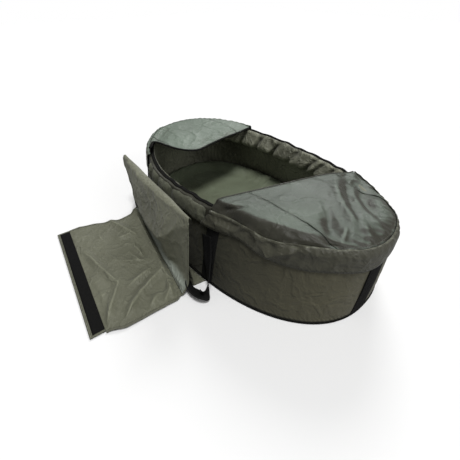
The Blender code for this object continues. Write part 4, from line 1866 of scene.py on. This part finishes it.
    def skirt_point(self, turn: float, v: float) -> Vector:
        """Return a point of the skirt.

        Args:
            turn: where it lies round the tub.
            v: the share of the way from its hem, up the wall and over the rim to the seam.

        Returns:
            The point.
        """
        u = (turn - self.start) / (self.finish - self.start)
        corner = (1 - ease(u, 0.0, 0.09)) if self.near else 0.0
        seam = self.seam(turn)
        shoulder = seam.z - (mix(0.008, 0.024, ease(turn, -1.05, -0.60)) if self.near else 0.010)
        rise = self.skirt_rise
        if v < rise:
            away = 1 - v / rise
            bend = math.remainder(turn, 2 * math.pi)
            flare = (0.011 * hump(bend, 0.56, 0.16) - 0.004 * hump(bend, 0.22, 0.14)) if self.near else 0.0
            out = self.outset - 0.0022 * (1 - ease(v, 0.0, 0.15)) + (0.005 * corner + flare) * away
            height = mix(self.hem_height(turn), shoulder, v / rise)
            return self.tub.point(turn - 0.050 * corner * away, height, out)
        angle = (1 - v) / (1 - rise) * math.pi / 2
        start = self.tub.point(turn, shoulder, self.outset)
        level = seam.lerp(start, math.sin(angle))
        return Vector((level.x, level.y, mix(shoulder, seam.z, math.cos(angle))))

    def build(self) -> None:
        """Make every piece of the cap."""
        seams = sorted(self.tub.turn_at_y(y, self.end) for y in (-self.gusset_y, self.gusset_y))
        sides = ("left", "right") if self.near else ("right", "left")
        gap = 0.0006 / self.half_width
        self._panel(f"{sides[0]}_gusset", self.ends[0], seams[0] - gap, "lb")
        self._panel("crown", seams[0] + gap, seams[1] - gap, "lrtb")
        self._panel(f"{sides[1]}_gusset", seams[1] + gap, self.ends[1], "rtb")
        self._skirt()
        self._hems()

    def _panel(self, name: str, first: float, last: float, sewn: str) -> None:
        """Make one panel of the crown.

        Args:
            name: the panel's name.
            first: the turn of one of its ends.
            last: the turn of the other.
            sewn: its sewn sides, as for Cloth.
        """
        seed = 11.0 + 3 * len(name)

        def relief(_u: float, v: float, point: Vector) -> float:
            """Return how far the panel's cloth stands off.

            Args:
                _u: not used.
                v: the share of the way across it.
                point: the cloth's point there.

            Returns:
                The distance.
            """
            pucker = math.sin((point.x * 0.6 - point.y) / 0.0042 + 2 * ripple(point.x, point.y, 0.03, 1.0))
            pucker *= 0.0011 * ease(v, 0.80, 0.94) * (1 - ease(v, 0.97, 1.0))
            soft = (0.0040 if self.near else 0.0026) * ripple(point.x, point.y, 0.09, seed)
            soft += 0.0016 * crumple(point.x, point.y, 0.05, seed)
            free = ease(v, 0.0, 0.10) * (1 - ease(v, 0.95, 1.0))
            shown = creased(CAP_FOLDS[self.end], point)
            if shown < 0 and (point.y > 0 or not self.near):
                shown *= ease(self.tub.inside(point.x, point.y), 0.022, 0.050)
            return free * (shown + soft) + pucker

        cells = (max(60, round((last - first) * 100)), 84)
        lines = [((0.33, 0.0), (0.30, 0.40))] if self.near and name == "crown" else []
        cloth = Cloth(
            f"{self.body}_{name}_cloth",
            cells,
            lambda u, v: self.crown_point(mix(last, first, u), v),
            self.finishes["cap" if self.near else "hood"],
            relief,
            sewn=sewn,
            lines=lines,
        )
        node = f"{self.body}_{name}"
        cloth.lay(self.body, [node], "cap_cloth", "stretched", ["rim_binding_tape"], cut=True)

    def _skirt(self) -> None:
        """Make the skirt: gathered at its seam, with long soft folds by the near left corner."""
        length = (self.finish - self.start) * 0.45

        def relief(u: float, v: float, point: Vector) -> float:
            """Return how far the skirt's cloth stands off.

            Args:
                u: the share of the way along the cloth.
                v: the share of the way across it.
                point: the cloth's point there.

            Returns:
                The distance.
            """
            along, low = u * length, 1 - v
            gather = math.sin(along / 0.0056 + 2.5 * ripple(along, v, 0.04, 2.0))
            gather *= 0.0011 * ease(v, 0.55, 0.9)
            spot = along / 0.034 + 1.8 * low + 2.2 * ripple(along, v * 0.05, 0.08, 3.0)
            swag = (1 - abs(math.sin(spot))) ** 2
            slack = (1 - ease(u, 0.25, 0.50)) if self.near else 0.2
            middle = ease(v, 0.0, 0.20) * (1 - ease(v, 0.90, 1.0))
            soft = 0.0032 * swag * (0.35 + slack) + 0.004 * slack * crumple(along, v * 0.06, 0.05, 6.0)
            shown = creased(CAP_FOLDS[self.end], point) if u < 0.6 else 0.0
            return (gather + soft + shown) * middle + 0.0012

        cloth = Cloth(
            f"{self.body}_skirt_cloth",
            (round((self.finish - self.start) * 110), 44),
            lambda u, v: self.skirt_point(mix(self.start, self.finish, u), v),
            self.finishes["skirt" if self.near else "hood"],
            relief,
            sewn="bl" if self.near else "tb",
            lines=[((0.30, 1.0), (1.0, 1.0))],
        )
        held_by = [f"{self.body}_hem_cord"]
        cloth.lay(self.body, [f"{self.body}_skirt"], "cap_cloth", "gathered", held_by)

    def _hems(self) -> None:
        """Make the elastic hem under the skirt and the rolled hem along the crown's front."""

        def elastic(u: float, v: float) -> Vector:
            """Return the hem's point at (u, v).

            Args:
                u: the share of the way along the cloth.
                v: the share of the way across it.

            Returns:
                The point.
            """
            turn, angle = mix(self.start, self.finish, u), 2 * math.pi * v
            edge = self.skirt_point(turn, 0.0) + UP * (0.0019 * math.sin(angle) - 0.001)
            return edge + self.tub.facing(turn) * (0.0019 * math.cos(angle) - 0.0008)

        cells = (round((self.finish - self.start) * 60), 8)
        look = self.finishes["skirt" if self.near else "binding"]
        hem = Cloth(f"{self.body}_hem_cord", cells, elastic, look, joined=Joined.ROD)
        hem.lay(self.body, [f"{self.body}_hem"], "black_trim")
        half_width, half_height = (0.0024, 0.0016) if self.near else (0.0058, 0.0030)
        points = []
        for index in range(61):
            edge = self.crown_point(mix(*self.ends, index / 60), 0.0)
            points.append(edge + Vector((-0.0015 if self.near else 0.0025, 0, 0.0004)))
        route = Route(points, [UP] * len(points))
        look = self.finishes["cap" if self.near else "binding"]
        place, node = route.cord(half_width, half_height), f"{self.body}_front_hem"
        front = Cloth(f"{node}_tape", (120, 10), place, look, joined=Joined.ROD)
        front.lay(self.body, [node], "cap_cloth" if self.near else "black_trim")


WING_FOLDS = (
    Crease((181, 218), (164, 239), 0.0030, 2.2, True),
    Crease((164, 239), (173, 266), 0.0050, 2.4, True),
    Crease((158, 238), (162, 246), -0.0050, 2.0),
    Crease((148, 226), (162, 248), -0.0055, 1.8),
    Crease((142, 211), (158, 240), 0.0070, 3.4),
    Crease((156, 238), (172, 272), 0.0060, 3.0),
    Crease((150, 186), (158, 232), 0.0040, 8.0),
    Crease((146, 200), (153, 230), -0.0040, 5.0),
    Crease((134, 166), (146, 194), 0.0045, 4.0, True),
    Crease((130, 172), (139, 196), 0.0060, 2.6, True),
    Crease((140, 190), (146, 214), 0.0040, 3.0, True),
    Crease((172, 232), (182, 270), -0.0030, 6.0),
    Crease((174, 276), (184, 286), 0.0060, 2.4, True),
)
APRON_FOLDS = (
    Crease((138, 216), (154, 248), 0.0080, 4.5),
    Crease((152, 246), (170, 284), 0.0080, 4.0),
    Crease((168, 282), (174, 298), 0.0060, 2.6, True),
    Crease((162, 271), (142, 292), 0.0120, 3.6, True),
    Crease((142, 292), (130, 314), 0.0110, 4.0, True),
    Crease((153, 268), (128, 288), 0.0080, 3.6, True),
    Crease((86, 255), (100, 268), 0.0100, 3.6, True),
    Crease((100, 268), (118, 284), 0.0090, 3.6, True),
    Crease((120, 280), (106, 328), 0.0100, 4.0, True),
    Crease((112, 262), (150, 262), 0.0055, 4.0, True),
    Crease((108, 221), (137, 236), 0.0090, 3.0, True),
    Crease((118, 240), (130, 235), 0.0065, 2.2, True),
    Crease((92, 244), (112, 232), 0.0045, 4.0),
    Crease((134, 246), (143, 256), 0.0060, 2.5, True),
    Crease((130, 254), (140, 262), 0.0045, 2.5, True),
    Crease((172, 284), (166, 302), 0.0080, 3.5, True),
    Crease((158, 296), (150, 308), 0.0055, 3.0, True),
    Crease((97, 285), (110, 308), 0.0050, 5.0),
    Crease((136, 300), (126, 320), 0.0060, 3.5, True),
)


@dataclass
class Flap:
    """The flap that covers the middle, lying open: back, fold, wing, apron and tip.

    Attributes:
        tub: the tub's outline.
        finishes: the materials.
        turn: how far the flap is turned from the tub's length.
        shift: where its middle lies along the tub.
        length: its length along the folds, on the ground.
        ridge_length: its length along the ridge.
        foot_gap: the gap between the base's piping and the foot of its back.
        ridge_height: the ridge's height.
        ridge_lean: how far the ridge leans to the tub.
        fold_depth: how deep the fold is, from back to wing.
        apron_depth: how far the apron and tip reach out.
        apron_shear: how far the apron slews to the near end.
        tip_depth: how deep the tip is.
        hook_width: how wide its strip of hooks is.
        hook_inset: how far inside the tip's edge the hooks lie.
        droop: how far the ridge droops at its far end.
        rise: how far it rises from there to its near end.
        fillet: how soft the valley at the wing's foot is.
        root_share: the share of the back's cloth that lies on the ground.
        back_split: the share at which the back is made in two pieces.
        fold_share: the share of the wing's cloth that is the fold.
        fold_drop: how far the fold's edges lie under the ridge.
        ground: the height of the cloth on the ground.
        cloth_level: how far its middle stands over that.
    """

    tub: Tub
    finishes: Looks
    turn: float = math.radians(7.5)
    shift: float = -0.087
    length: float = 0.560
    ridge_length: float = 0.528
    foot_gap: float = 0.004
    ridge_height: float = 0.2735
    ridge_lean: float = 0.012
    fold_depth: float = 0.030
    apron_depth: float = 0.327
    apron_shear: float = 0.035
    tip_depth: float = 0.046
    hook_width: float = 0.036
    hook_inset: float = 0.0095
    droop: float = 0.0415
    rise: float = 0.050
    fillet: float = 0.026
    root_share: float = 0.16
    back_split: float = 0.5
    fold_share: float = 0.14
    fold_drop: float = 0.006
    ground: float = 0.0016
    cloth_level: float = 0.0008

    def __post_init__(self) -> None:
        """Work out the flap's own directions and its foot line."""
        tub = self.tub
        self.along = Vector((math.cos(self.turn), -math.sin(self.turn), 0))
        self.out = Vector((-math.sin(self.turn), -math.cos(self.turn), 0))
        power = tub.far_roundness / (tub.far_roundness - 1)
        reach_x, reach_y = tub.base_length / 2 * abs(self.out.x), tub.base_width / 2 * abs(self.out.y)
        self.foot = (reach_x**power + reach_y**power) ** (1 / power) + tub.piping + self.foot_gap
        self.wing_out = self.fold_depth - self.ridge_lean
        self.half = self.length / 2

    def point(self, along: float, out: float, height: float) -> Vector:
        """Return a point by the flap: along its folds, outward from its foot line, and up."""
        shear = self.apron_shear * max(0.0, out - self.wing_out) / self.apron_depth
        return self.along * (self.shift + along + shear) + self.out * (self.foot + out) + UP * height

    def ridge_drop(self, u: float) -> float:
        """Return how far the ridge droops, at this share of the way from its far end."""
        return self.droop - self.rise * u**1.6

    def fold_reach(self, u: float) -> float:
        """Return half the fold's depth at this share of the way from its far end."""
        return self.fold_depth / 2 * (1 - 0.55 * (1 - ease(u, 0.0, 0.22)) - 0.50 * ease(u, 0.70, 1.0))

    def ridge_chord(self) -> tuple[Vector, Vector]:
        """Return the middle of the sloping ridge and the way down the cloth, square to it.

        Returns:
            The middle and the way down.
        """
        near, far = self.ridge_drop(1.0), self.ridge_drop(0.0)
        slope = (far - near) / self.ridge_length
        down = (self.along * slope - UP).normalized()
        return self.point(0, 0, self.ridge_height - (near + far) / 2), down

    def valley(self, u: float) -> float:
        """Return how far out the wing meets the ground at this share of the way from its far end."""
        return mix(0.012, 0.052, u)

    def base_edge(self, along: float) -> Vector:
        """Return the point on the base's piping that the flap's root is sewn to.

        Args:
            along: how far along the flap it lies.

        Returns:
            The point.
        """
        foot = self.point(along, 0, 0)
        low, high = -math.pi + 0.1, -0.1
        for _step in range(40):
            middle = (low + high) / 2
            spot = self.tub.point(middle, 0.0, self.tub.piping)
            if (spot - foot).dot(self.along) < 0:
                low = middle
            else:
                high = middle
        return spot

    def build(self) -> None:
        """Make every piece of the flap."""
        self._back()
        self._wing()
        self._apron()
        self._tip()

    def _back(self) -> None:
        """Make the root on the ground and the back panel that stands by the wall."""
        level = 0.0012
        top = self.ridge_height - self.fold_drop - level / 2
        middle = (self.wing_out - self.ridge_lean) / 2

        def place(u: float, v: float) -> Vector:
            """Return the panel's point at (u, v): v runs from the base's piping to the ridge.

            Args:
                u: the share of the way along the cloth.
                v: the share of the way across it.

            Returns:
                The point.
            """
            near = 1 - u
            along = mix(-self.half, self.half, near)
            if v < self.root_share:
                edge = self.base_edge(along) + UP * level
                return edge.lerp(self.point(along, 0.0, level), v / self.root_share)
            share = (v - self.root_share) / (1 - self.root_share)
            half = mix(self.half, self.ridge_length / 2, share)
            drawn = 0.038 * ease(near, 0.7, 1.0) * ease(share, 0.05, 0.3) * (1 - ease(share, 0.9, 1))
            height = share * (top - self.ridge_drop(near))
            rounded = 0.004 * (1 - ease(share, 0.0, 0.08))
            out = (middle - self.fold_reach(near)) * share + rounded
            return self.point(mix(-half, half, near) - drawn, out, level + height)

        def relief(u: float, v: float, _point: Vector) -> float:
            """Return how far the panel's cloth stands off.

            Args:
                u: the share of the way along the cloth.
                v: the share of the way across it.
                _point: not used.

            Returns:
                The distance.
            """
            x, y = u * 0.55, v * 0.3
            free = ease(v, 0.18, 0.40) * (1 - ease(v, 0.94, 1.0))
            return free * (0.004 * ripple(x, y, 0.10, 21.0) + 0.002 * crumple(x, y, 0.06, 22.0))

        def panel(name: str, first: float, last: float, sewn: str) -> Cloth:
            """Return a part of the panel.

            Args:
                name: the piece's name.
                first: the share of the panel at which it starts.
                last: the share at which it ends.
                sewn: its sewn sides, as for Cloth.

            Returns:
                The cloth.
            """
            return Cloth(
                name,
                (72, 24),
                lambda u, v: place(u, mix(first, last, v)),
                self.finishes["flap"],
                lambda u, v, point: relief(u, mix(first, last, v), point),
                sewn=sewn,
            )

        root = panel("flap_root_cloth", 0.0, self.back_split, "lrb")
        ride = ("tub", "flap_back", self.point(0, -0.004, 0.001), self.point(0, -0.004, 0.022))
        root.lay(ride, ["flap_root"], "olive_flap", "folded", ["outer_wall_cloth"])
        back = panel("flap_back_cloth", self.back_split, 1.0, "lr")
        ridge, down = self.ridge_chord()
        ride = ("flap_back", "flap_fold", ridge + down * 0.060, ridge + down * 0.014)
        back.lay(ride, ["flap_back"], "olive_flap", "folded", ["outer_wall_cloth"])

    def _wing(self) -> None:
        """Make the rolled fold and the wing that hangs from it to the ground."""
        size = (0.54, 0.32)

        def place(u: float, v: float) -> Vector:
            """Return the wing's point.

            Args:
                u: the share of the way from its near end to its far end.
                v: the share of the way over the fold and down to the ground.

            Returns:
                The point. The cloth hangs steeply to a knee, and slopes out from there to its foot.
            """
            u = 1 - u
            low = max(0.0, (v - self.fold_share) / (1 - self.fold_share))
            top = self.ridge_height - self.ridge_drop(u)
            half = mix(self.ridge_length / 2, self.half, low)
            middle, reach = (self.wing_out - self.ridge_lean) / 2, self.fold_reach(u)
            if v < self.fold_share:
                angle = math.pi * v / self.fold_share
                out = middle - reach * math.cos(angle)
                height = top - self.fold_drop + 0.0095 * math.sin(angle)
            else:
                share = low
                start = middle + reach
                foot = self.valley(u) - self.fillet
                broken = 0.04 + 0.58 * (1 - ease(u, 0.62, 1.0))
                knee = min(start + 0.095 * broken, self.valley(u) + 0.012)
                lower = max(0.0, (share - broken) / (1 - broken))
                bend = ease(share, 0.80, 1.08) / ease(1.0, 0.80, 1.08)
                out = mix(start, knee, share / broken) if share < broken else mix(knee, foot, lower)
                out += self.fillet * bend**1.5
                ground = self.apron_height(foot + self.fillet, foot) + 0.0004
                height = mix(top - self.fold_drop, ground, share)
            far, near = 1 - ease(u, 0.0, 0.35), ease(u, 0.60, 1.0)
            lean = far * (0.050 * hump(low, 0.60, 0.28) - 0.060 * (1 - ease(v, 0.10, 0.48)))
            lean += near * (0.026 * (1 - ease(v, 0.14, 0.90)) + 0.018 - 0.014 * (1 - ease(v, 0.05, 0.16)))
            return self.point(mix(-half, half, u) + lean, out, height)

        def relief(u: float, v: float, point: Vector) -> float:
            """Return how far the wing's cloth stands off.

            Args:
                u: the share of the way along the cloth.
                v: the share of the way across it.
                point: the cloth's point there.

            Returns:
                The distance.
            """
            x, y = u * size[0], v * size[1]
            free = ease(v, 0.02, 0.16) * (1 - ease(v, 0.96, 1.0)) * ease(u, 0.0, 0.05)
            soft = 0.0034 * ripple(x, y, 0.10, 31.0) + 0.0030 * crumple(x, y, 0.07, 32.0)
            return free * (creased(WING_FOLDS, point) + soft)

        cloth = Cloth("flap_wing_cloth", (150, 110), place, self.finishes["wing"], relief, sewn="t")
        ridge, down = self.ridge_chord()
        ride = ("flap_fold", "flap_wing", ridge + down * 0.016, ridge + down * 0.050)
        cloth.lay(ride, ["flap_fold", "flap_wing"], "olive_flap", "hung", ["flap_back_cloth"])
        for name, column in (("far", 1.0), ("near", 0.0)):
            self._tape(f"flap_wing_{name}_tape", cloth.line(column)[15:], "flap_wing")

    def _tape(self, node: str, line: Sequence[Vector], body: str) -> None:
        """Bind an edge of the cloth with a narrow rolled tape.

        Args:
            node: the frame's node for the tape.
            line: the edge's points.
            body: the body that the tape rides on.
        """
        step = max(1, len(line) // 24)
        points = list(line[:-1:step]) + [line[-1]]
        route = Route(points, [self.out if body == "flap_wing" else UP] * len(points))
        place, look = route.cord(0.0028, 0.0019), self.finishes["flap"]
        edge = Cloth(f"{node}_edge", (90, 8), place, look, joined=Joined.ROD)
        edge.lay(body, [node], "olive_flap")

    def apron_height(self, out: float, foot: float) -> float:
        """Return how high the apron's cloth lies this far out: it rises softly to the wing's foot."""
        away = max(0.0, 1 - (out - foot) / 0.052)
        return self.ground + self.cloth_level + 0.014 * away**2

    def _apron(self) -> None:
        """Make the apron on the ground, from the valley at the wing's foot to the tip."""
        size = (self.length, self.apron_depth)
        last = self.wing_out + self.apron_depth - self.tip_depth

        def place(u: float, v: float) -> Vector:
            """Return the apron's point at (u, v): v runs out from the valley.

            Args:
                u: the share of the way along the cloth.
                v: the share of the way across it.

            Returns:
                The point.
            """
            u = 1 - u
            out = mix(self.valley(u), last, v)
            near = ease(u, 0.65, 1.0) * mix(0.018, 0.024, ease(v, 0.0, 0.10))
            near *= 1 - 0.8 * ease(v, 0.75, 1.0)
            far = (1 - ease(u, 0.0, 0.35)) * 0.052 * hump(v, 0.28, 0.42) * ease(v, -0.03, 0.14)
            height = self.apron_height(out, self.valley(u) - self.fillet)
            far *= 1 - 0.8 * ease(v, 0.8, 1.0)
            return self.point(mix(-self.half, self.half, u) + near + far, out, height)

        def relief(u: float, v: float, point: Vector) -> float:
            """Return how far the apron's cloth stands off.

            Args:
                u: the share of the way along the cloth.
                v: the share of the way across it.
                point: the cloth's point there.

            Returns:
                The distance.
            """
            x, y = u * size[0], v * size[1]
            soft = 0.0045 * (0.5 + 0.5 * ripple(x, y, 0.09, 41.0)) + 0.0030 * crumple(x, y, 0.07, 42.0)
            free = ease(v, 0.0, 0.05) * (1 - 0.9 * ease(v, 0.90, 1.0))
            lifted = 1.3 * creased(APRON_FOLDS, point)
            return free * max(soft + lifted, 0.0)

        cloth = Cloth("flap_apron_cloth", (190, 130), place, self.finishes["flap"], relief, sewn="lr")
        middle, slant = self.valley(0.5), (self.valley(1.0) - self.valley(0.0)) / self.length
        across = (self.out - self.along * slant).normalized()
        start = self.point(0, middle, 0)
        ride = ("flap_wing", "flap_apron", start - across * 0.002, start + across * 0.012)
        cloth.lay(ride, ["flap_apron"], "olive_flap", "laid", ["flap_wing_cloth"])
        for name, column in (("far", 1.0), ("near", 0.0)):
            self._tape(f"flap_apron_{name}_tape", cloth.line(column)[7:], "flap_apron")

    def _tip(self) -> None:
        """Make the turned tip with its bound edge and the strip of hooks on it."""
        first = self.wing_out + self.apron_depth - self.tip_depth
        last = self.wing_out + self.apron_depth

        def place(u: float, v: float) -> Vector:
            """Return the tip's point at (u, v)."""
            level = self.ground + self.cloth_level
            return self.point(mix(self.half, -self.half, u), mix(first, last, v), level)

        def wavy(u: float, y: float) -> float:
            """Return how far the tip lies off the ground at a share of its length and y in."""
            return 0.0012 * (0.5 + 0.5 * ripple((1 - u) * self.length, y, 0.06, 51.0))

        def relief(u: float, v: float, _point: Vector) -> float:
            """Return how far the tip's cloth stands off."""
            return self.cloth_level + wavy(u, v * 0.05)

        cloth = Cloth("flap_tip_cloth", (120, 12), place, self.finishes["flap"], relief, sewn="lrt")
        nodes = ["flap_tip", "flap_tip_tape"]
        cloth.lay("flap_tip", nodes, "olive_flap", "laid", ["flap_apron_cloth"])
        outer = last - self.hook_inset
        inner = outer - self.hook_width

        def strip(u: float, v: float) -> Vector:
            """Return the point of the hooks' strip at (u, v)."""
            along = mix(self.half - 0.008, -self.half + 0.010, u)
            return self.point(along, mix(inner, outer, v), self.ground + 0.0036 + wavy(u, 0.03))

        hooks = Cloth("hook_strip_tape", (120, 6), strip, self.finishes["hooks"])
        hooks.lay("flap_tip", ["hook_strip"], "black_trim")


@dataclass
class Handles:
    """The two long webbing loops, hanging from the wall on either side.

    Attributes:
        tub: the tub's outline.
        flap: the open flap.
        finishes: the materials.
        width: the webbing's width.
        height: how high on the wall its ends are sewn.
        near_x: X of its near end.
        far_x: X of its far end.
        lie: how much further out it lies at each turn of its route.
        off: how far off the wall its ends are.
        bight: how far the left one's loop reaches past the flap.
        low_at: the height of its corner behind the flap's far end.
        mid_at: the height at which it meets the wall there.
    """

    tub: Tub
    flap: Flap
    finishes: Looks
    width: float = 0.045
    height: float = 0.170
    near_x: float = 0.130
    far_x: float = -0.435
    lie: float = 0.004
    off: float = 0.0078
    bight: float = 0.074
    low_at: float = 0.065
    mid_at: float = 0.115

    def build(self) -> None:
        """Make both handles."""
        self._strap("left_handle", self._left())
        self._strap("right_handle", self._right())

    def _spot(self, turn: float, height: float, outset: float) -> tuple[Vector, Vector]:
        """Return a point off the wall and the way that the wall faces there."""
        return self.tub.point(turn, height, outset), self.tub.facing(turn)

    def _right(self) -> Route:
        """Return the right handle's route: down the wall, along its foot and up again.

        Returns:
            The route.
        """
        low = self.width / 2 + 1.5 * self.lie
        first, last = (self.tub.turn_at_x(x, Side.RIGHT) for x in (self.near_x, self.far_x))
        corner = self.width * 0.9 / self.tub.rim_length * math.pi
        middle = mix(low, self.height, 0.45)
        out = self.off
        spots = [self._spot(first, self.height, out), self._spot(first, middle, out + self.lie)]
        turns = [mix(first + corner, last - corner, index / 8) for index in range(9)]
        spots += [self._spot(turn, low, out + 2 * self.lie) for turn in turns]
        spots += [self._spot(last, middle, out + self.lie), self._spot(last, self.height, out)]
        return Route([point for point, _face in spots], [face for _point, face in spots])

    def _left(self) -> Route:
        """Return the left handle's route: down by the flap's near edge, round and on inside the fold.

        Returns:
            The route.
        """
        flap = self.flap
        low = self.width / 2 + self.lie
        first, last = (self.tub.turn_at_x(x, Side.LEFT) for x in (self.near_x, self.far_x))
        start, face = self._spot(first, self.height, self.off)
        slot, bight = flap.wing_out / 2, self.bight
        spots = [(start, face), (start.lerp(flap.point(flap.half, -0.052, 0.09), 0.5) - face * 0.002, face)]
        spots += [
            (flap.point(flap.half + bight * share, out, height), way)
            for share, out, height, way in (
                (0.12, -0.050, 0.092, face),
                (0.62, -0.030, 0.050, face * 0.8 - flap.along * 0.4),
                (0.90, -0.012, 0.024, flap.out * 0.7 - flap.along * 0.3 - UP * 0.4),
                (0.86, 0.008, 0.0145, flap.out * 0.50 - UP * 0.80),
                (0.50, 0.016, 0.0150, flap.out * 0.45 - UP * 0.85),
                (0.12, 0.020, 0.0190, flap.out * 0.70 - UP * 0.60),
            )
        ]
        runs = [mix(flap.half - 0.03, -flap.half, index / 6) for index in range(7)]
        spots += [(flap.point(along, slot, low), flap.out) for along in runs]
        point, face = self._spot(last, self.height, self.off)
        corner = flap.point(-flap.half - 0.030, slot - 0.012, low + self.lie)
        foot = self._spot(last + 0.03, self.low_at, self.off + self.lie)[0]
        middle = self._spot(last, self.mid_at, self.off)[0]
        spots += [(corner, flap.out), (foot, face), (middle, face), (point, face)]
        return Route([point for point, _face in spots], [face.normalized() for _point, face in spots])

    def _strap(self, node: str, route: Route) -> None:
        """Lay webbing along a route.

        Args:
            node: the frame's node for it.
            route: the route.
        """
        place, look = route.strap(self.width, 0.0006), self.finishes["strap"]
        strap = Cloth(f"{node}_strap", (260, 6), place, look, thickness=0.0022)
        strap.lay(node, [node], "black_trim")


@dataclass(frozen=True)
class Studio:
    """The pale floor, the lamps and the photo's camera.

    Attributes:
        sensor: the camera's sensor, in mm.
        sky: the strength of the light from all round.
        key: the strength of the main lamp.
        back: the strength of the lamp behind.
        bounce: how much light the floor gives back.
        shown_grey: how pale the camera sees it.
        floor_half: half its width.
        floor_drop: how far it is under the object.
    """

    sensor: float = 36.0
    sky: float = 0.23
    key: float = 2.05
    back: float = 1.1
    bounce: float = 0.30
    shown_grey: float = 0.92
    floor_half: float = 9.0
    floor_drop: float = 0.0006

    def build(self) -> None:
        """Make the floor, the world, the lamps and the camera."""
        self._floor()
        self._sky()
        self._lamp("key_lamp", Vector((0.28, -0.12, 1.0)), self.key, 16.0)
        self._lamp("back_lamp", Vector((-0.50, 0.62, 0.60)), self.back, 24.0)
        self._lamp("fill_lamp", Vector((1.0, 0.20, 0.35)), self.key * 0.36, 45.0)
        self._camera()
        bpy.context.scene.view_settings.view_transform = "Standard"

    def _floor(self) -> None:
        """Make the floor, white to the camera but for the object's shadow."""
        shape = bmesh.new()
        bmesh.ops.create_grid(shape, x_segments=1, y_segments=1, size=self.floor_half)
        mesh = bpy.data.meshes.new("studio_floor")
        shape.to_mesh(mesh)
        shape.free()
        floor = bpy.data.objects.new("studio_floor", mesh)
        floor.location.z = -self.floor_drop
        bpy.context.scene.collection.objects.link(floor)
        dye = Dye("studio_floor")
        dull, pale = (
            dye.node("ShaderNodeBsdfDiffuse", None, {"Color": (grey, grey, grey, 1)})
            for grey in (self.bounce, self.shown_grey)
        )
        dye.feed(dye.tree.nodes["Material Output"].inputs["Surface"], dye.shown_or_lit(pale, dull))
        mesh.materials.append(dye.material)

    def _sky(self) -> None:
        """Light the scene from all round, and show white behind it."""
        world = bpy.data.worlds.new("studio_sky")
        bpy.context.scene.world = world
        world.use_nodes = True
        sky = Tree(world.node_tree)
        sky.tree.nodes.clear()
        shown = sky.node("ShaderNodeBackground", None, {"Strength": 1.0, "Color": (1, 1, 1, 1)})
        lit = sky.node("ShaderNodeBackground", None, {"Strength": self.sky, "Color": (1.0, 1.0, 0.99, 1)})
        sky.node("ShaderNodeOutputWorld", None, {"Surface": sky.shown_or_lit(shown, lit)})

    def _lamp(self, name: str, way: Vector, strength: float, softness: float) -> None:
        """Add a soft sun.

        Args:
            name: the lamp's name.
            way: the way towards it.
            strength: its strength.
            softness: how wide it looks, in degrees.
        """
        light = bpy.data.lights.new(name, "SUN")
        light.energy = strength
        light.angle = math.radians(softness)
        lamp = bpy.data.objects.new(name, light)
        lamp.rotation_mode = "QUATERNION"
        lamp.rotation_quaternion = way.to_track_quat("Z", "Y")
        bpy.context.scene.collection.objects.link(lamp)

    def _camera(self) -> None:
        """Stand the camera where the photo was taken from."""
        data = bpy.data.cameras.new("photo_camera")
        data.sensor_width = self.sensor
        data.lens = self.sensor * EYE.focal_pixels / EYE.frame_pixels
        camera = bpy.data.objects.new("photo_camera", data)
        camera.location = EYE.place
        camera.rotation_mode = "QUATERNION"
        camera.rotation_quaternion = EYE.forward().to_track_quat("-Z", "Y")
        bpy.context.scene.collection.objects.link(camera)
        bpy.context.scene.camera = camera


def dress_hidden(frame: dict[str, Any], finishes: Looks) -> None:
    """Give the frame's own nodes that stay in the model their finishes.

    Args:
        frame: what the frame was loaded as.
        finishes: every material by name.
    """
    for node, look in {"base_sheet": "wall", "base_foam": "foam"}.items():
        materials = frame["nodes"][node].data.materials
        materials.clear()
        materials.append(finishes[look])


def main() -> None:
    """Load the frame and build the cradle's looks."""
    logging.basicConfig(level=logging.INFO, format="%(name)s: %(message)s")
    for thing in list(bpy.data.objects):
        bpy.data.objects.remove(thing, do_unlink=True)
    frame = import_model()
    palette = Finishes()
    finishes = {name: getattr(palette, name).dye() for name in Finishes.__dataclass_fields__}
    tub = Tub()
    flap = Flap(tub, finishes)
    Studio().build()
    dress_hidden(frame, finishes)
    Shell(tub, finishes).build()
    Cap(tub, finishes, End.NEAR, front=(0.128, 0.268), bulge=0.0, crown=0.028, inset=0.006).build()
    Cap(tub, finishes, End.FAR, front=(-0.325, -0.298), bulge=0.055, crown=0.020, inset=0.004).build()
    flap.build()
    Handles(tub, flap, finishes).build()


if __name__ == "__main__":
    main()
